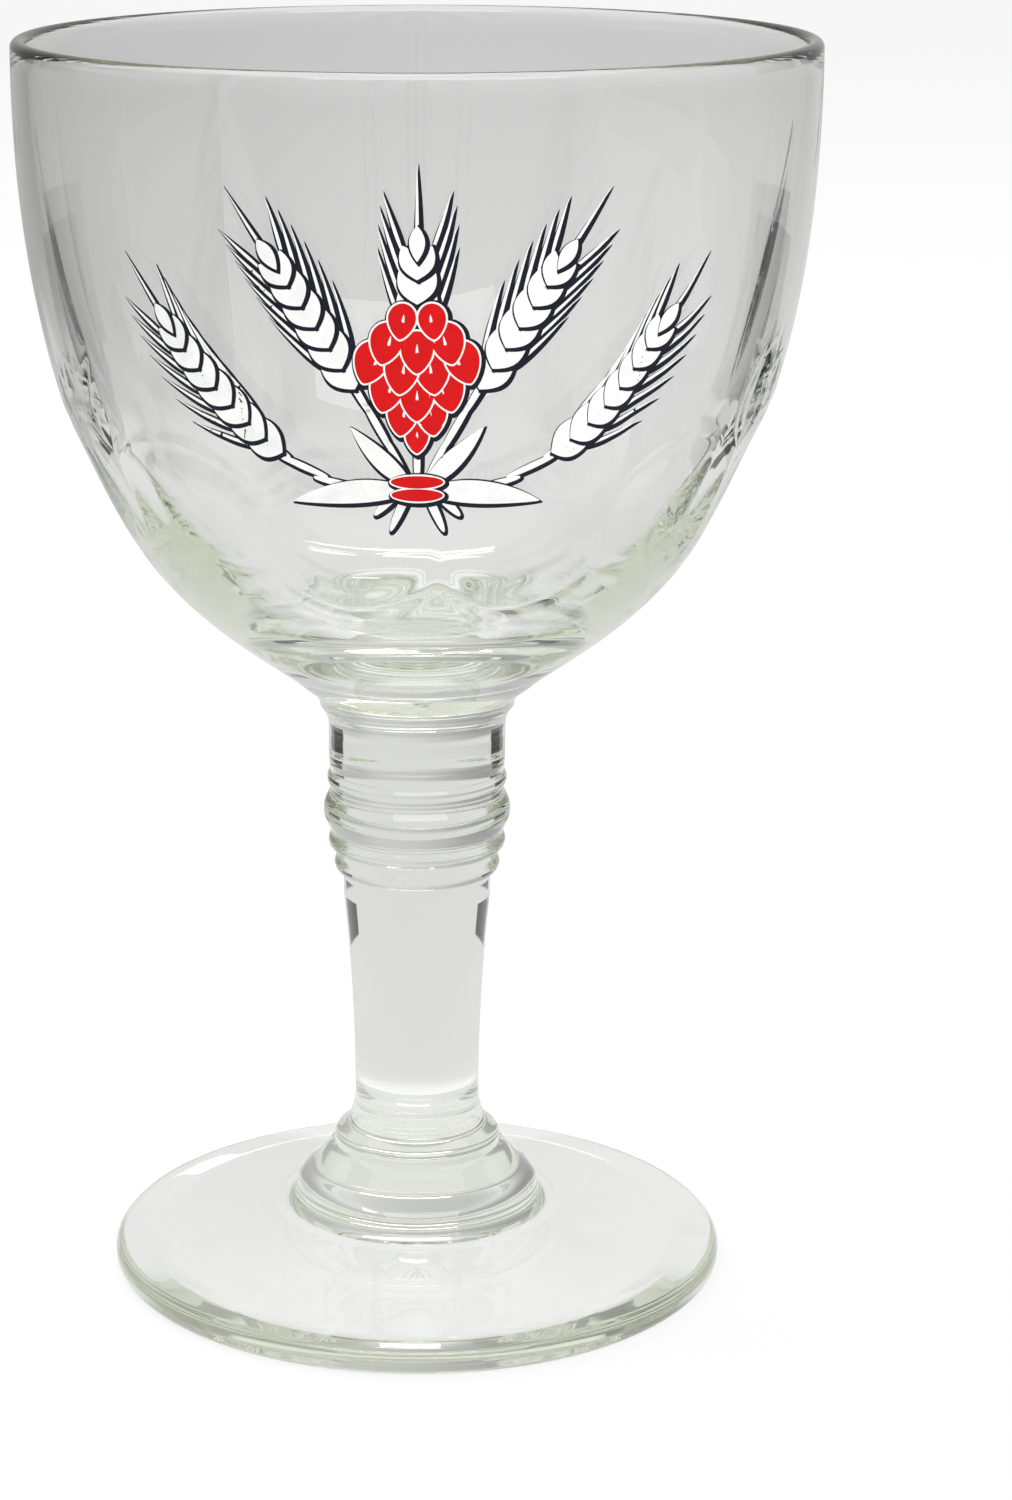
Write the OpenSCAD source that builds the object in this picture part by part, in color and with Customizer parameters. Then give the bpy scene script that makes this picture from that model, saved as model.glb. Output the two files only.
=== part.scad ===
// Chalice beer glass: a cup on a ringed stem and a round foot.
// Units are millimetres. +Z is up and the origin is the centre of the foot's resting plane.
// The front of the glass faces -Y.

/* [Bowl] */
// Height of the whole glass, from the table to the rim
glass_h = 172; // [160:1:184]
// Diameter of the bowl at the rim
rim_d = 106.6; // [98:0.2:114]
// Height at which the bowl is fused to the stem
bowl_seam_z = 81.5; // [79:0.5:84]
// Height at which the round of the bowl ends and its neck begins
bowl_base_z = 84.5; // [82.5:0.5:87]
// Radius of the bowl at that height
bowl_base_r = 15.9; // [14.5:0.1:18]
// Outward lean of the wall below the rim, in degrees
rim_lean = 0.6; // [0:0.1:2]
// How far the upright of the wall pulls the curve down from the rim
rim_pull = 70; // [60:1:74]
// How far the slope of the bottom pulls the curve outwards
base_pull = 11.2; // [8:0.2:16]
// Slope of the bowl where it meets its neck, in degrees from level
base_slope = 44.4; // [38:0.2:52]
// Thickness of the glass at the rim
rim_wall = 2.2; // [1.8:0.1:2.6]
// Thickness of the glass low in the bowl
low_wall = 5.4; // [4.8:0.1:6.4]
// Height at which the low wall is reached
low_wall_z = 97; // [95:0.5:100]
// Height of the inside of the bowl's bottom
inside_floor_z = 92.5; // [90:0.5:94]

/* [Arched panels] */
// Number of panels round the bowl
panels = 12; // [12:1:16]
// Turn of the first panel's middle from +X, in degrees
panel_turn = 18.7; // [0:0.1:30]
// Height of the top of each arch
panel_top_z = 125; // [122:0.2:128]
// Height at which the panels run out, low on the bowl
panel_low_z = 103.5; // [100:0.5:108]
// Deepest cut of a panel into the wall
panel_deep = 0.8; // [0.7:0.05:0.9]
// How far behind the bowl's axis the bend of a panel's face is centred
panel_axis_back = 36; // [32:1:42]

/* [Leaf cuts] */
// Height of the lower tip of each leaf
leaf_low_z = 121.5; // [118:0.5:124]
// Height of the upper tip of a tall leaf
tall_leaf_top_z = 159; // [150:0.5:164]
// Height of the upper tip of a short leaf
short_leaf_top_z = 134; // [130:0.5:140]
// Deepest cut of a tall leaf into the wall
tall_leaf_deep = 0.75; // [0.5:0.05:0.9]
// Deepest cut of a short leaf into the wall
short_leaf_deep = 0.4; // [0.3:0.05:0.6]
// Tilt of each side of a leaf from flat, in degrees
leaf_tilt = 5.5; // [4:0.5:8]

/* [Stem] */
// Radius of the seam between the bowl and the stem
seam_r = 13.4; // [12.8:0.1:14.2]
// Radius of the neck under the bowl
neck_r = 12.2; // [12.15:0.05:12.5]
// Height of the upper end of the neck's straight part
neck_top_z = 78.5; // [77.5:0.1:79.5]
// Height of the lower end of the neck
neck_low_z = 74; // [73.6:0.1:75]
// Radius of the grooves above and below the upper bead
groove_r = 12.05; // [11.8:0.05:12.1]
// Radius over the upper bead of the knop
upper_bead_r = 12.4; // [12.3:0.05:12.6]
// Height of the upper bead
upper_bead_z = 70.9; // [70.5:0.1:71.3]
// Rounding of the upper bead
upper_bead_round = 1.15; // [1:0.05:1.3]
// Radius over the main ring of the knop
knop_r = 12.95; // [12.7:0.05:13.6]
// Height of the main ring
knop_z = 66.4; // [66:0.1:66.8]
// Rounding of the main ring
knop_round = 3.7; // [3.2:0.1:4]
// Radius of the groove below the main ring
low_groove_r = 11.95; // [11.7:0.05:12]
// Radius over the middle bead of the knop
middle_bead_r = 12.25; // [12.15:0.05:12.5]
// Height of the middle bead
middle_bead_z = 61.9; // [61.7:0.1:62.3]
// Rounding of the middle bead
middle_bead_round = 1.2; // [1:0.05:1.3]
// Radius of the groove above the lower bead
last_groove_r = 11.15; // [10.9:0.05:11.2]
// Radius over the lower bead of the knop
lower_bead_r = 11.45; // [11.35:0.05:11.7]
// Height of the lower bead
lower_bead_z = 58.6; // [58.2:0.1:59]
// Rounding of the lower bead
lower_bead_round = 1.2; // [1:0.05:1.3]
// Radius of the stem just below the knop
stem_top_r = 10.2; // [9.8:0.05:10.5]
// Height at which the stem's long taper begins
stem_top_z = 54; // [52:0.5:55]
// Smallest radius of the stem
stem_low_r = 8.7; // [8:0.05:9.2]
// Height of the stem's smallest part
stem_low_z = 25; // [24:0.5:28]

/* [Stepped collar] */
// Height of the top of the stem's base ring
ring_top_z = 20.4; // [19.8:0.1:21.5]
// Radius of the base ring at its top
ring_top_r = 9.8; // [9.4:0.1:10.4]
// Radius over the base ring
ring_r = 11.7; // [11.3:0.1:12.2]
// Height at which the stem is fused to the foot
foot_seam_z = 17.3; // [16.8:0.1:17.8]
// Radius at the top edge of the collar
collar_top_r = 12.3; // [12.2:0.1:12.8]
// Drop of the collar's top edge below the seam
collar_top_drop = 0.5; // [0.3:0.1:0.8]
// Radius over the collar
collar_r = 17.2; // [16.4:0.1:18]
// Height of the collar's widest part
collar_wide_z = 10.6; // [10.2:0.1:11]
// Radius of the edge line round the collar
collar_edge_r = 14.7; // [14.2:0.1:15.2]
// Height of the edge line round the collar
collar_edge_z = 14; // [13.6:0.1:14.6]

/* [Foot] */
// Diameter of the foot
foot_d = 86; // [78:0.5:94]
// Thickness of the foot's edge
edge_h = 3.9; // [3.2:0.1:4.6]
// Rounding of the foot's edge
edge_round = 1.7; // [1:0.1:1.9]
// Height of the foot's top beside the collar
foot_rise_z = 8.6; // [8:0.1:9.2]
// Radius at which the collar's cove meets the foot's top
cove_r = 20; // [18.8:0.2:22]
// Width of the flat ring that the glass rests on
rest_w = 5; // [3:0.5:8]
// Depth of the hollow under the foot
hollow_h = 1.4; // [0.6:0.1:2]

/* [Hidden] */

// Facets of every round form
$fn = 96;
// Steps along the curve of the bowl, inside and out
bowl_steps = 30;
// Steps of the round over the rim
rim_steps = 8;
// Steps along the inside of the bottom
floor_steps = 8;
// Steps down a panel
panel_steps = 8;
// Steps along a leaf
leaf_steps = 8;
// Steps of a cove, a dome or a rounded edge
round_steps = 6;
// How steeply the wall thickens downwards, as a power
thicken_power = 2.2;
// Where a panel is deepest, as a share of its height from the top
panel_peak_share = 0.34;
// How far a cutter reaches past the glass
overrun = 4;
// Turn from one flat of a panel to the next about its own centre, in degrees
flat_turn = 5.6;

// The bowl's outer curve runs through two end points and two pulled points.
rim_r = rim_d / 2;
rim_point = [rim_r, glass_h - rim_wall / 2];
rim_handle = rim_point + rim_pull * [sin(rim_lean), -cos(rim_lean)];
base_point = [bowl_base_r, bowl_base_z];
base_handle = base_point + base_pull * [cos(base_slope), sin(base_slope)];

// Point of the outer curve at t, from 0 at the rim to 1 at the base
function wall_point(t) =
    pow(1 - t, 3) * rim_point
    + 3 * pow(1 - t, 2) * t * rim_handle
    + 3 * (1 - t) * pow(t, 2) * base_handle
    + pow(t, 3) * base_point;

// Direction of the outer curve at t, downwards
function wall_slope(t) =
    pow(1 - t, 2) * (rim_handle - rim_point)
    + 2 * (1 - t) * t * (base_handle - rim_handle)
    + pow(t, 2) * (base_point - base_handle);

// Unit vector at t that points into the glass
function wall_inward(t) =
    let (d = wall_slope(t))
    [d[1], -d[0]] / norm(d);

// Thickness of the wall at height z
function wall_at(z) =
    rim_wall + (low_wall - rim_wall)
    * pow(max(0, (glass_h - z) / (glass_h - low_wall_z)), thicken_power);

// The outer curve's t at height z
t_table = [for (i = [bowl_steps * 4 : -1 : 0])
    [wall_point(i / (bowl_steps * 4))[1], i / (bowl_steps * 4)]];
function t_at(z) = lookup(z, t_table);

// Point at depth d under the outer surface
function under(t, d) = wall_point(t) + d * wall_inward(t);

// Points of an arc between two angles
function arc(middle, r, a0, a1, steps) =
    [for (i = [0 : steps])
        middle + r * [cos(a0 + (a1 - a0) * i / steps), sin(a0 + (a1 - a0) * i / steps)]];

// Points of a smooth bend from p to q, pulled towards c
function bend(p, c, q, steps) =
    [for (i = [0 : steps])
        let (t = i / steps)
        pow(1 - t, 2) * p + 2 * (1 - t) * t * c + pow(t, 2) * q];

// The wall's inner face ends where the low wall is reached, and the floor's bend begins.
inner_end_t = t_at(low_wall_z);
inner_end = under(inner_end_t, low_wall);
inner_dir = wall_slope(inner_end_t);
floor_pull = [inner_end[0] + inner_dir[0] * (inside_floor_z - inner_end[1]) / inner_dir[1], inside_floor_z];

// Depth of a panel, from 0 at its arch down to 0 at its lower end
function panel_depth(u) =
    u < panel_peak_share
    ? panel_deep * sin(90 * u / panel_peak_share)
    : panel_deep * cos(90 * (u - panel_peak_share) / (1 - panel_peak_share));

// Depth of a leaf of greatest depth d, from tip to tip
function leaf_depth(u, d) = d * sin(180 * u);

// Outline of the space outside the bowl from height z0 up to z1, whose inner side follows the wall.
// The depths under the wall are given from the top down, and its inner side is drawn in for a
// cutter that is turned by tilt, so that two cutters turned apart meet at these depths.
function cutter_outline(z0, z1, depths, tilt = 0) =
    let (
        last = len(depths) - 1,
        t0 = t_at(z1),
        t1 = t_at(z0),
        face = [for (i = [0 : last])
            let (p = under(t0 + (t1 - t0) * i / last, depths[i]))
            [p[0] * cos(tilt), p[1]]],
        top_out = face[0] - overrun * wall_inward(t0),
        low_out = face[last] - overrun * wall_inward(t1),
        corner = [max(top_out[0], low_out[0]), low_out[1]])
    concat(face, [low_out, corner, [corner[0], top_out[1]]]);

// A cutter whose inner side is flat across
module flat_cutter(z0, z1, depths, tilt = 0) {
    rotate([90, 0, tilt])
    linear_extrude(height = rim_r, center = true)
    polygon(cutter_outline(z0, z1, depths, tilt));
}

// One panel with an arched top, bent a little in three flats that lie round its own centre
module panel_cutter() {
    depths = [for (i = [0 : panel_steps]) panel_depth(i / panel_steps)];
    for (turn = [-flat_turn, 0, flat_turn])
        translate([-panel_axis_back, 0, 0])
        rotate([0, 0, turn])
        translate([panel_axis_back, 0, 0])
        flat_cutter(panel_low_z, panel_top_z, depths);
}

// One pointed leaf with a crease down its middle
module leaf_cutter(top_z, deep) {
    depths = [for (i = [0 : leaf_steps]) leaf_depth(i / leaf_steps, deep)];
    intersection() {
        flat_cutter(leaf_low_z, top_z, depths, leaf_tilt);
        flat_cutter(leaf_low_z, top_z, depths, -leaf_tilt);
    }
}

// The cup before it is cut
module bowl_blank() {
    outer = [for (i = [0 : bowl_steps]) wall_point(i / bowl_steps)];
    inner = [for (i = [bowl_steps : -1 : 0])
        let (t = inner_end_t * i / bowl_steps)
        under(t, wall_at(wall_point(t)[1]))];
    floor_bend = bend([0, inside_floor_z], floor_pull, inner_end, floor_steps);
    neck_bend = bend(base_point, [seam_r, bowl_seam_z + (bowl_base_z - bowl_seam_z) / 2],
        [seam_r, bowl_seam_z], round_steps);
    lip = arc(rim_point + [-rim_wall / 2, 0], rim_wall / 2, 180, 0, rim_steps);
    rotate_extrude()
    polygon(concat(
        [for (i = [0 : floor_steps - 1]) floor_bend[i]],
        [for (i = [0 : bowl_steps - 1]) inner[i]],
        [for (i = [0 : rim_steps]) lip[i]],
        [for (i = [1 : bowl_steps - 1]) outer[i]],
        neck_bend,
        [[0, bowl_seam_z]]));
}

// The cup with its panels and leaf cuts
module bowl() {
    color([0.86, 0.89, 0.87, 0.45])
    difference() {
        bowl_blank();
        for (i = [0 : panels - 1])
            rotate([0, 0, panel_turn + i * 360 / panels]) panel_cutter();
        for (i = [0 : panels - 1])
            rotate([0, 0, panel_turn + (i + 0.5) * 360 / panels])
            if (i % 2 == 1)
                leaf_cutter(tall_leaf_top_z, tall_leaf_deep);
            else
                leaf_cutter(short_leaf_top_z, short_leaf_deep);
    }
}

// A rounded ring of the knop
module bead(r, z, bead_round) {
    rotate_extrude()
    translate([r - bead_round, z]) circle(r = bead_round);
}

// The stem without the rounded rings of its knop
module stem_core() {
    neck_cove = bend([seam_r, bowl_seam_z], [neck_r, (bowl_seam_z + neck_top_z) / 2],
        [neck_r, neck_top_z], round_steps);
    knop_foot = bend([lower_bead_r - lower_bead_round, lower_bead_z],
        [stem_top_r, (lower_bead_z + stem_top_z) / 2], [stem_top_r, stem_top_z], round_steps);
    waist = bend([stem_top_r, stem_top_z], [stem_low_r, (stem_top_z + stem_low_z) / 2],
        [stem_low_r, stem_low_z], round_steps);
    flare = bend([stem_low_r, stem_low_z], [stem_low_r, (stem_low_z + ring_top_z) / 2],
        [ring_top_r, ring_top_z], round_steps);
    rotate_extrude()
    polygon(concat(
        [[0, bowl_seam_z]],
        neck_cove,
        [[neck_r, neck_low_z], [groove_r, upper_bead_z + upper_bead_round]],
        [[groove_r, knop_z], [low_groove_r, knop_z]],
        [[low_groove_r, middle_bead_z], [last_groove_r, middle_bead_z]],
        [[last_groove_r, lower_bead_z]],
        [for (i = [0 : round_steps - 1]) knop_foot[i]],
        [for (i = [0 : round_steps - 1]) waist[i]],
        flare,
        [[ring_r, (ring_top_z + foot_seam_z) / 2], [ring_r, foot_seam_z], [0, foot_seam_z]]));
}

// The solid stem with its neck, ringed knop and base ring
module stem() {
    color([0.84, 0.87, 0.85, 0.55])
    union() {
        stem_core();
        bead(upper_bead_r, upper_bead_z, upper_bead_round);
        bead(knop_r, knop_z, knop_round);
        bead(middle_bead_r, middle_bead_z, middle_bead_round);
        bead(lower_bead_r, lower_bead_z, lower_bead_round);
    }
}

// The foot with its stepped collar and the hollow under it
module foot() {
    foot_r = foot_d / 2;
    hollow_r = foot_r - edge_round - rest_w;
    collar_side = bend([collar_edge_r, collar_edge_z], [collar_r, (collar_edge_z + collar_wide_z) / 2],
        [collar_r, collar_wide_z], round_steps);
    cove = bend([collar_r, collar_wide_z], [collar_r, foot_rise_z], [cove_r, foot_rise_z], round_steps);
    edge_top = arc([foot_r - edge_round, edge_h - edge_round], edge_round, 80, 0, round_steps);
    edge_low = arc([foot_r - edge_round, edge_round], edge_round, 0, -90, round_steps);
    hollow = bend([hollow_r, 0], [hollow_r / 2, hollow_h], [0, hollow_h], round_steps);
    color([0.82, 0.86, 0.82, 0.5])
    rotate_extrude()
    polygon(concat(
        [[0, foot_seam_z], [ring_r, foot_seam_z], [collar_top_r, foot_seam_z - collar_top_drop]],
        collar_side,
        [for (i = [1 : round_steps]) cove[i]],
        edge_top,
        edge_low,
        hollow));
}

bowl();
stem();
foot();
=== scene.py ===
import math

import bpy
import numpy as np
from bpy.props import FloatProperty, FloatVectorProperty, IntProperty, PointerProperty
from mathutils import Euler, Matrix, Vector


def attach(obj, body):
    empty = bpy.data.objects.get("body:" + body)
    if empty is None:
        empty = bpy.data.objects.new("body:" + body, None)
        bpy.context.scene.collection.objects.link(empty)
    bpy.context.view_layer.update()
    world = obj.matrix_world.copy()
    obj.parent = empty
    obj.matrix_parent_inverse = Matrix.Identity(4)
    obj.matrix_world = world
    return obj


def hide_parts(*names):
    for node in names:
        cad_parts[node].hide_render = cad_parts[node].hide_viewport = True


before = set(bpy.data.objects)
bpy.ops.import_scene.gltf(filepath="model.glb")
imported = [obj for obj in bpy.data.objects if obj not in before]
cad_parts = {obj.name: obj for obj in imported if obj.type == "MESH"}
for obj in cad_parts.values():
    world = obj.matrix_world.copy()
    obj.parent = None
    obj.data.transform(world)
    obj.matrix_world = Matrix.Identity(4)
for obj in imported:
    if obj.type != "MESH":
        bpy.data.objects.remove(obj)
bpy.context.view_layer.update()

bl_info = {
    "name": "Chalice beer glass",
    "version": (1, 0, 0),
    "blender": (4, 5, 0),
    "location": "View3D > Sidebar > Chalice",
    "description": "Builds a moulded chalice beer glass with a printed ornament, and its studio",
    "category": "Add Mesh",
}

MM = 0.001
FULL_TURN = 2 * math.pi
QUARTER_TURN = math.pi / 2

# How far each of two fused pieces stops short of the seam between them
JOINT_GAP = 0.01 * MM

# What a cut's depth falls to where there is no cut
UNCUT = 10 * MM

# Points closer than this are one: on turned glass, within a mark, and where a mark meets its walls
GLASS_WELD = 1e-6
MARK_WELD = 1e-7
FILM_WELD = 1e-8

WHITE = (1.0, 1.0, 1.0, 1.0)


# Kinds of property

def length(name, millimetres, note):
    """A length, given in millimetres and kept in metres."""
    return FloatProperty(name=name, description=note, default=millimetres * MM, min=0.0,
                         unit="LENGTH", subtype="DISTANCE", precision=5)


def angle(name, degrees, note):
    """An angle, given in degrees and kept in radians."""
    return FloatProperty(name=name, description=note, default=math.radians(degrees), subtype="ANGLE")


def share(name, value, note):
    """A share from 0 to 1."""
    return FloatProperty(name=name, description=note, default=value, min=0.0, max=1.0, subtype="FACTOR")


def amount(name, value, note):
    """A plain number that isn't below 0."""
    return FloatProperty(name=name, description=note, default=value, min=0.0, precision=4)


def count(name, value, note):
    """A whole number."""
    return IntProperty(name=name, description=note, default=value, min=1)


def colour(name, value, note):
    """A colour in linear light."""
    return FloatVectorProperty(name=name, description=note, default=value, size=3, min=0.0, max=1.0,
                               subtype="COLOR")


class BowlSizes(bpy.types.PropertyGroup):
    """Sizes of the bowl with its arched panels and leaf cuts"""

    glass_height: length("Height", 172, "Height of the whole glass")
    rim_width: length("Rim diameter", 106.6, "Diameter over the rim")
    rim_wall: length("Rim wall", 2.2, "Thickness of the glass at the rim")
    rim_lean: angle("Rim lean", 0.6, "Outward lean of the wall below the rim")
    rim_pull: length("Rim pull", 70, "How far the upright of the wall pulls its curve down")
    base_radius: length("Base radius", 15.9, "Radius where the round of the bowl ends")
    base_height: length("Base height", 84.5, "Height where the round of the bowl ends")
    base_pull: length("Base pull", 11.2, "How far the slope of the bottom pulls the curve out")
    base_slope: angle("Base slope", 44.4, "Slope of the bottom where it meets the neck")
    seam_radius: length("Seam radius", 13.4, "Radius where the bowl is fused to the stem")
    seam_height: length("Seam height", 81.5, "Height where the bowl is fused to the stem")
    low_wall: length("Low wall", 5.4, "Thickness of the glass low in the bowl")
    low_wall_height: length("Low wall height", 97, "Height where the low wall is reached")
    thickening: amount("Thickening", 2.2, "How steeply the wall thickens downwards, as a power")
    floor_height: length("Inside floor", 92.5, "Height of the inside of the bottom")
    panels: count("Panels", 12, "Number of arched panels")
    panel_turn: angle("Panel turn", 18.7, "Turn of the first panel's middle from +X")
    panel_top: length("Panel top", 125, "Height of the arches")
    panel_low: length("Panel low end", 103.5, "Height where the panels run out")
    panel_depth: length("Panel depth", 0.8, "Deepest cut of a panel")
    panel_flatness: share("Panel flatness", 0.42, "How flat a panel is, from the bowl's own round to flat")
    panel_peak: share("Panel peak", 0.34, "Where a panel is deepest, as a share from its top")
    leaf_low: length("Leaf low tip", 121.5, "Height of the lower tip of each leaf")
    tall_leaf_top: length("Tall leaf tip", 159, "Height of the upper tip of a tall leaf")
    short_leaf_top: length("Short leaf tip", 134, "Height of the upper tip of a short leaf")
    tall_leaf_depth: length("Tall leaf depth", 0.75, "Deepest cut of a tall leaf")
    short_leaf_depth: length("Short leaf depth", 0.4, "Deepest cut of a short leaf")
    leaf_tilt: angle("Leaf tilt", 5.5, "Tilt of each side of a leaf")
    softness: length("Softness", 0.3, "How far fire polish softens the edges of the cuts")
    groove_depth: length("Groove depth", 0.1, "Depth of the fine line that borders each cut")
    groove_width: length("Groove width", 0.12, "Depth of cut over which that line fades")
    columns: count("Columns", 432, "Columns of faces round the bowl")
    gathering: share("Gathering", 0.6, "How closely the columns gather at the panels' sides")


class StemSizes(bpy.types.PropertyGroup):
    """Sizes of the solid stem with its ringed knop"""

    seam_radius: length("Seam radius", 13.4, "Radius where the stem is fused to the bowl")
    seam_height: length("Seam height", 81.5, "Height where the stem is fused to the bowl")
    neck_radius: length("Neck radius", 12.2, "Radius of the neck under the bowl")
    neck_top: length("Neck top", 78.5, "Height of the upper end of the neck")
    neck_low: length("Neck low end", 74, "Height of the lower end of the neck")
    groove_radius: length("Groove radius", 12.05, "Radius of the grooves round the upper bead")
    upper_bead_radius: length("Upper bead radius", 12.4, "Radius over the upper bead")
    upper_bead_height: length("Upper bead height", 70.9, "Height of the upper bead")
    upper_bead_round: length("Upper bead round", 1.15, "Rounding of the upper bead")
    knop_radius: length("Knop radius", 12.95, "Radius over the main ring")
    knop_height: length("Knop height", 66.4, "Height of the main ring")
    knop_round: length("Knop round", 3.7, "Rounding of the main ring")
    low_groove_radius: length("Low groove radius", 11.95, "Radius of the groove below the main ring")
    middle_bead_radius: length("Middle bead radius", 12.25, "Radius over the middle bead")
    middle_bead_height: length("Middle bead height", 61.9, "Height of the middle bead")
    middle_bead_round: length("Middle bead round", 1.2, "Rounding of the middle bead")
    last_groove_radius: length("Last groove radius", 11.15, "Radius of the groove above the lower bead")
    lower_bead_radius: length("Lower bead radius", 11.45, "Radius over the lower bead")
    lower_bead_height: length("Lower bead height", 58.6, "Height of the lower bead")
    lower_bead_round: length("Lower bead round", 1.2, "Rounding of the lower bead")
    top_radius: length("Top radius", 10.2, "Radius of the stem below the knop")
    top_height: length("Top height", 54, "Height where the long taper begins")
    low_radius: length("Low radius", 8.7, "Smallest radius of the stem")
    low_height: length("Low height", 25, "Height of the smallest part")
    ring_top_radius: length("Ring top radius", 9.8, "Radius of the base ring at its top")
    ring_top_height: length("Ring top height", 20.4, "Height of the top of the base ring")
    ring_radius: length("Ring radius", 11.7, "Radius over the base ring")
    ring_round: length("Ring round", 0.9, "Rounding of the base ring")
    foot_seam_height: length("Foot seam", 17.3, "Height where the stem is fused to the foot")
    softness: length("Softness", 0.9, "How far fire polish softens the grooves")
    columns: count("Columns", 256, "Columns of faces round the stem")


class FootSizes(bpy.types.PropertyGroup):
    """Sizes of the foot with its stepped collar"""

    width: length("Foot diameter", 86, "Diameter of the foot")
    edge_height: length("Edge height", 3.9, "Thickness of the foot's edge")
    edge_round: length("Edge round", 1.7, "Rounding of the foot's edge")
    seam_height: length("Seam height", 17.3, "Height where the foot is fused to the stem")
    ring_radius: length("Ring radius", 11.7, "Radius of the stem's base ring on it")
    collar_top_radius: length("Collar top radius", 12.3, "Radius at the collar's top edge")
    collar_top_drop: length("Collar top drop", 0.5, "Drop of that edge below the seam")
    collar_edge_radius: length("Collar line radius", 14.7, "Radius of the edge line round the collar")
    collar_edge_height: length("Collar line height", 14, "Height of that edge line")
    collar_radius: length("Collar radius", 17.2, "Radius over the collar")
    collar_height: length("Collar height", 10.6, "Height of the collar's widest part")
    cove_radius: length("Cove radius", 20, "Radius where the cove meets the foot's top")
    rise_height: length("Rise height", 8.6, "Height of the foot's top beside the collar")
    rest_width: length("Rest width", 5, "Width of the flat ring that the glass rests on")
    hollow_height: length("Hollow height", 3.4, "Depth of the hollow under the foot")
    softness: length("Softness", 0.5, "Rounding that fire polish gives each edge")
    columns: count("Columns", 256, "Columns of faces round the foot")


class PrintSizes(bpy.types.PropertyGroup):
    """Sizes of the printed ornament: a sheaf of barley with a hop cone"""

    flat_radius: length("Flat radius", 52, "Radius at which the flat drawing keeps its true width")
    tie_height: length("Tie height", 121, "Height at which the ears are tied")
    outline: length("Outline", 0.4, "Width of the black outline")
    shadow: length("Shadow", 0.22, "How far the outline falls to the lower right")
    white_line: length("White line", 0.24, "Width of the white line round each red mark")
    grain_length: length("Grain length", 5.4, "Length of a barley grain")
    grain_width: length("Grain width", 2.5, "Width of a barley grain")
    grain_pitch: length("Grain pitch", 3.0, "Distance from one pair of grains to the next")
    grain_lean: angle("Grain lean", 27, "Turn of a grain out of its ear")
    awn_length: length("Awn length", 9, "Length of the bristle that stands on a grain")
    awn_width: length("Awn width", 0.42, "Width of that bristle")
    awn_start: share("Awn start", 0.86, "Where on its grain that bristle starts")
    awn_lean: angle("Awn lean", 6.875, "Turn of that bristle back to its ear")
    ear_taper: share("Ear taper", 0.3, "How much smaller the last grains of an ear are")
    tip_drop: length("Tip drop", 0.8, "How far before the stalk's end the last grain starts")
    last_grain_length: share("Last grain length", 0.8, "Length of the last grain against a full one's")
    last_grain_width: share("Last grain width", 0.75, "Width of the last grain against a full one's")
    last_awn: amount("Last awn", 1.3, "Length of the last bristle against a full one's")
    stalk_width: length("Stalk width", 0.9, "Width of a stalk")
    stalk_overlap: amount("Stalk overlap", 1.35, "Length of such a piece against its pitch")
    tie_length: length("Tie length", 7.2, "Length of each band of the tie")
    tie_width: length("Tie width", 1.7, "Width of each band of the tie")
    hop_height: length("Hop height", 136, "Height of the middle of the hop cone")
    hop_pitch: length("Hop pitch", 2.9, "Distance from one row of hop scales to the next")
    scale_length: length("Scale length", 5.6, "Length of a hop scale")
    scale_width: length("Scale width", 4.2, "Width of a hop scale")
    scale_spread: share("Scale spread", 0.7568, "Distance from scale to scale against their width")
    scale_lift: share("Scale lift", 0.35, "How far each scale is higher than its inner neighbour, in rows")
    scale_fan: angle("Scale fan", 13.751, "Turn from each scale to its neighbour")
    vein_start: share("Vein start", 0.3, "Where on its scale a white vein starts")
    vein_length: share("Vein length", 0.42, "Length of a vein against its scale's")
    vein_width: share("Vein width", 0.08, "Width of a vein against its scale's")
    leaf_length: length("Leaf length", 17, "Length of a barley leaf")
    leaf_width: length("Leaf width", 3.2, "Width of a barley leaf")
    base_level: length("Base level", 0.05, "How high the lowest black stands on the glass")
    level_step: length("Level step", 0.007, "How much higher each mark stands than the one under it")
    root_depth: length("Root depth", 0.05, "How deep the enamel is fused into the glass")
    along: count("Steps along", 24, "Steps along a mark")
    across: count("Steps across", 6, "Steps across a mark")


class EnamelLook(bpy.types.PropertyGroup):
    """Look of the fired enamel"""

    white: colour("White", (0.88, 0.89, 0.87), "Colour of the white enamel")
    black: colour("Black", (0.010, 0.010, 0.020), "Colour of the black enamel")
    gloss: share("Gloss", 0.15, "Strength of the enamel's own reflection")
    red: colour("Red", (0.64, 0.003, 0.004), "Colour of the red enamel")
    roughness: share("Roughness", 0.28, "Roughness of the fired enamel")
    refraction: amount("Refraction", 1.5, "Index of refraction of the enamel")
    grain_size: length("Grain", 0.35, "Width of the enamel's grain")
    grain_depth: length("Grain depth", 0.004, "Depth of that grain")
    shade_change: share("Shade change", 0.10, "How far the enamel's shade changes from place to place")


class GlassLook(bpy.types.PropertyGroup):
    """Look of the glass"""

    refraction: amount("Refraction", 1.52, "Index of refraction of plain soda-lime glass")
    sharp_angle: angle("Sharp angle", 38, "Turn between two faces from which their edge looks sharp")
    tint: colour("Tint", (0.31, 0.40, 0.10), "Colour that a thick piece of the glass takes on")
    tint_strength: amount("Tint strength", 5.6, "How strongly a metre of glass is tinted")
    roughness: share("Roughness", 0.0, "Roughness of the fire-polished surface")
    ripple_size: length("Ripple size", 14, "Width of the slow ripple left by the mould")
    ripple_depth: length("Ripple depth", 0.02, "Depth of that ripple")
    ripple_upright: amount("Upright ripple", 2.0, "How much longer the ripple is upwards than across")


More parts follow.
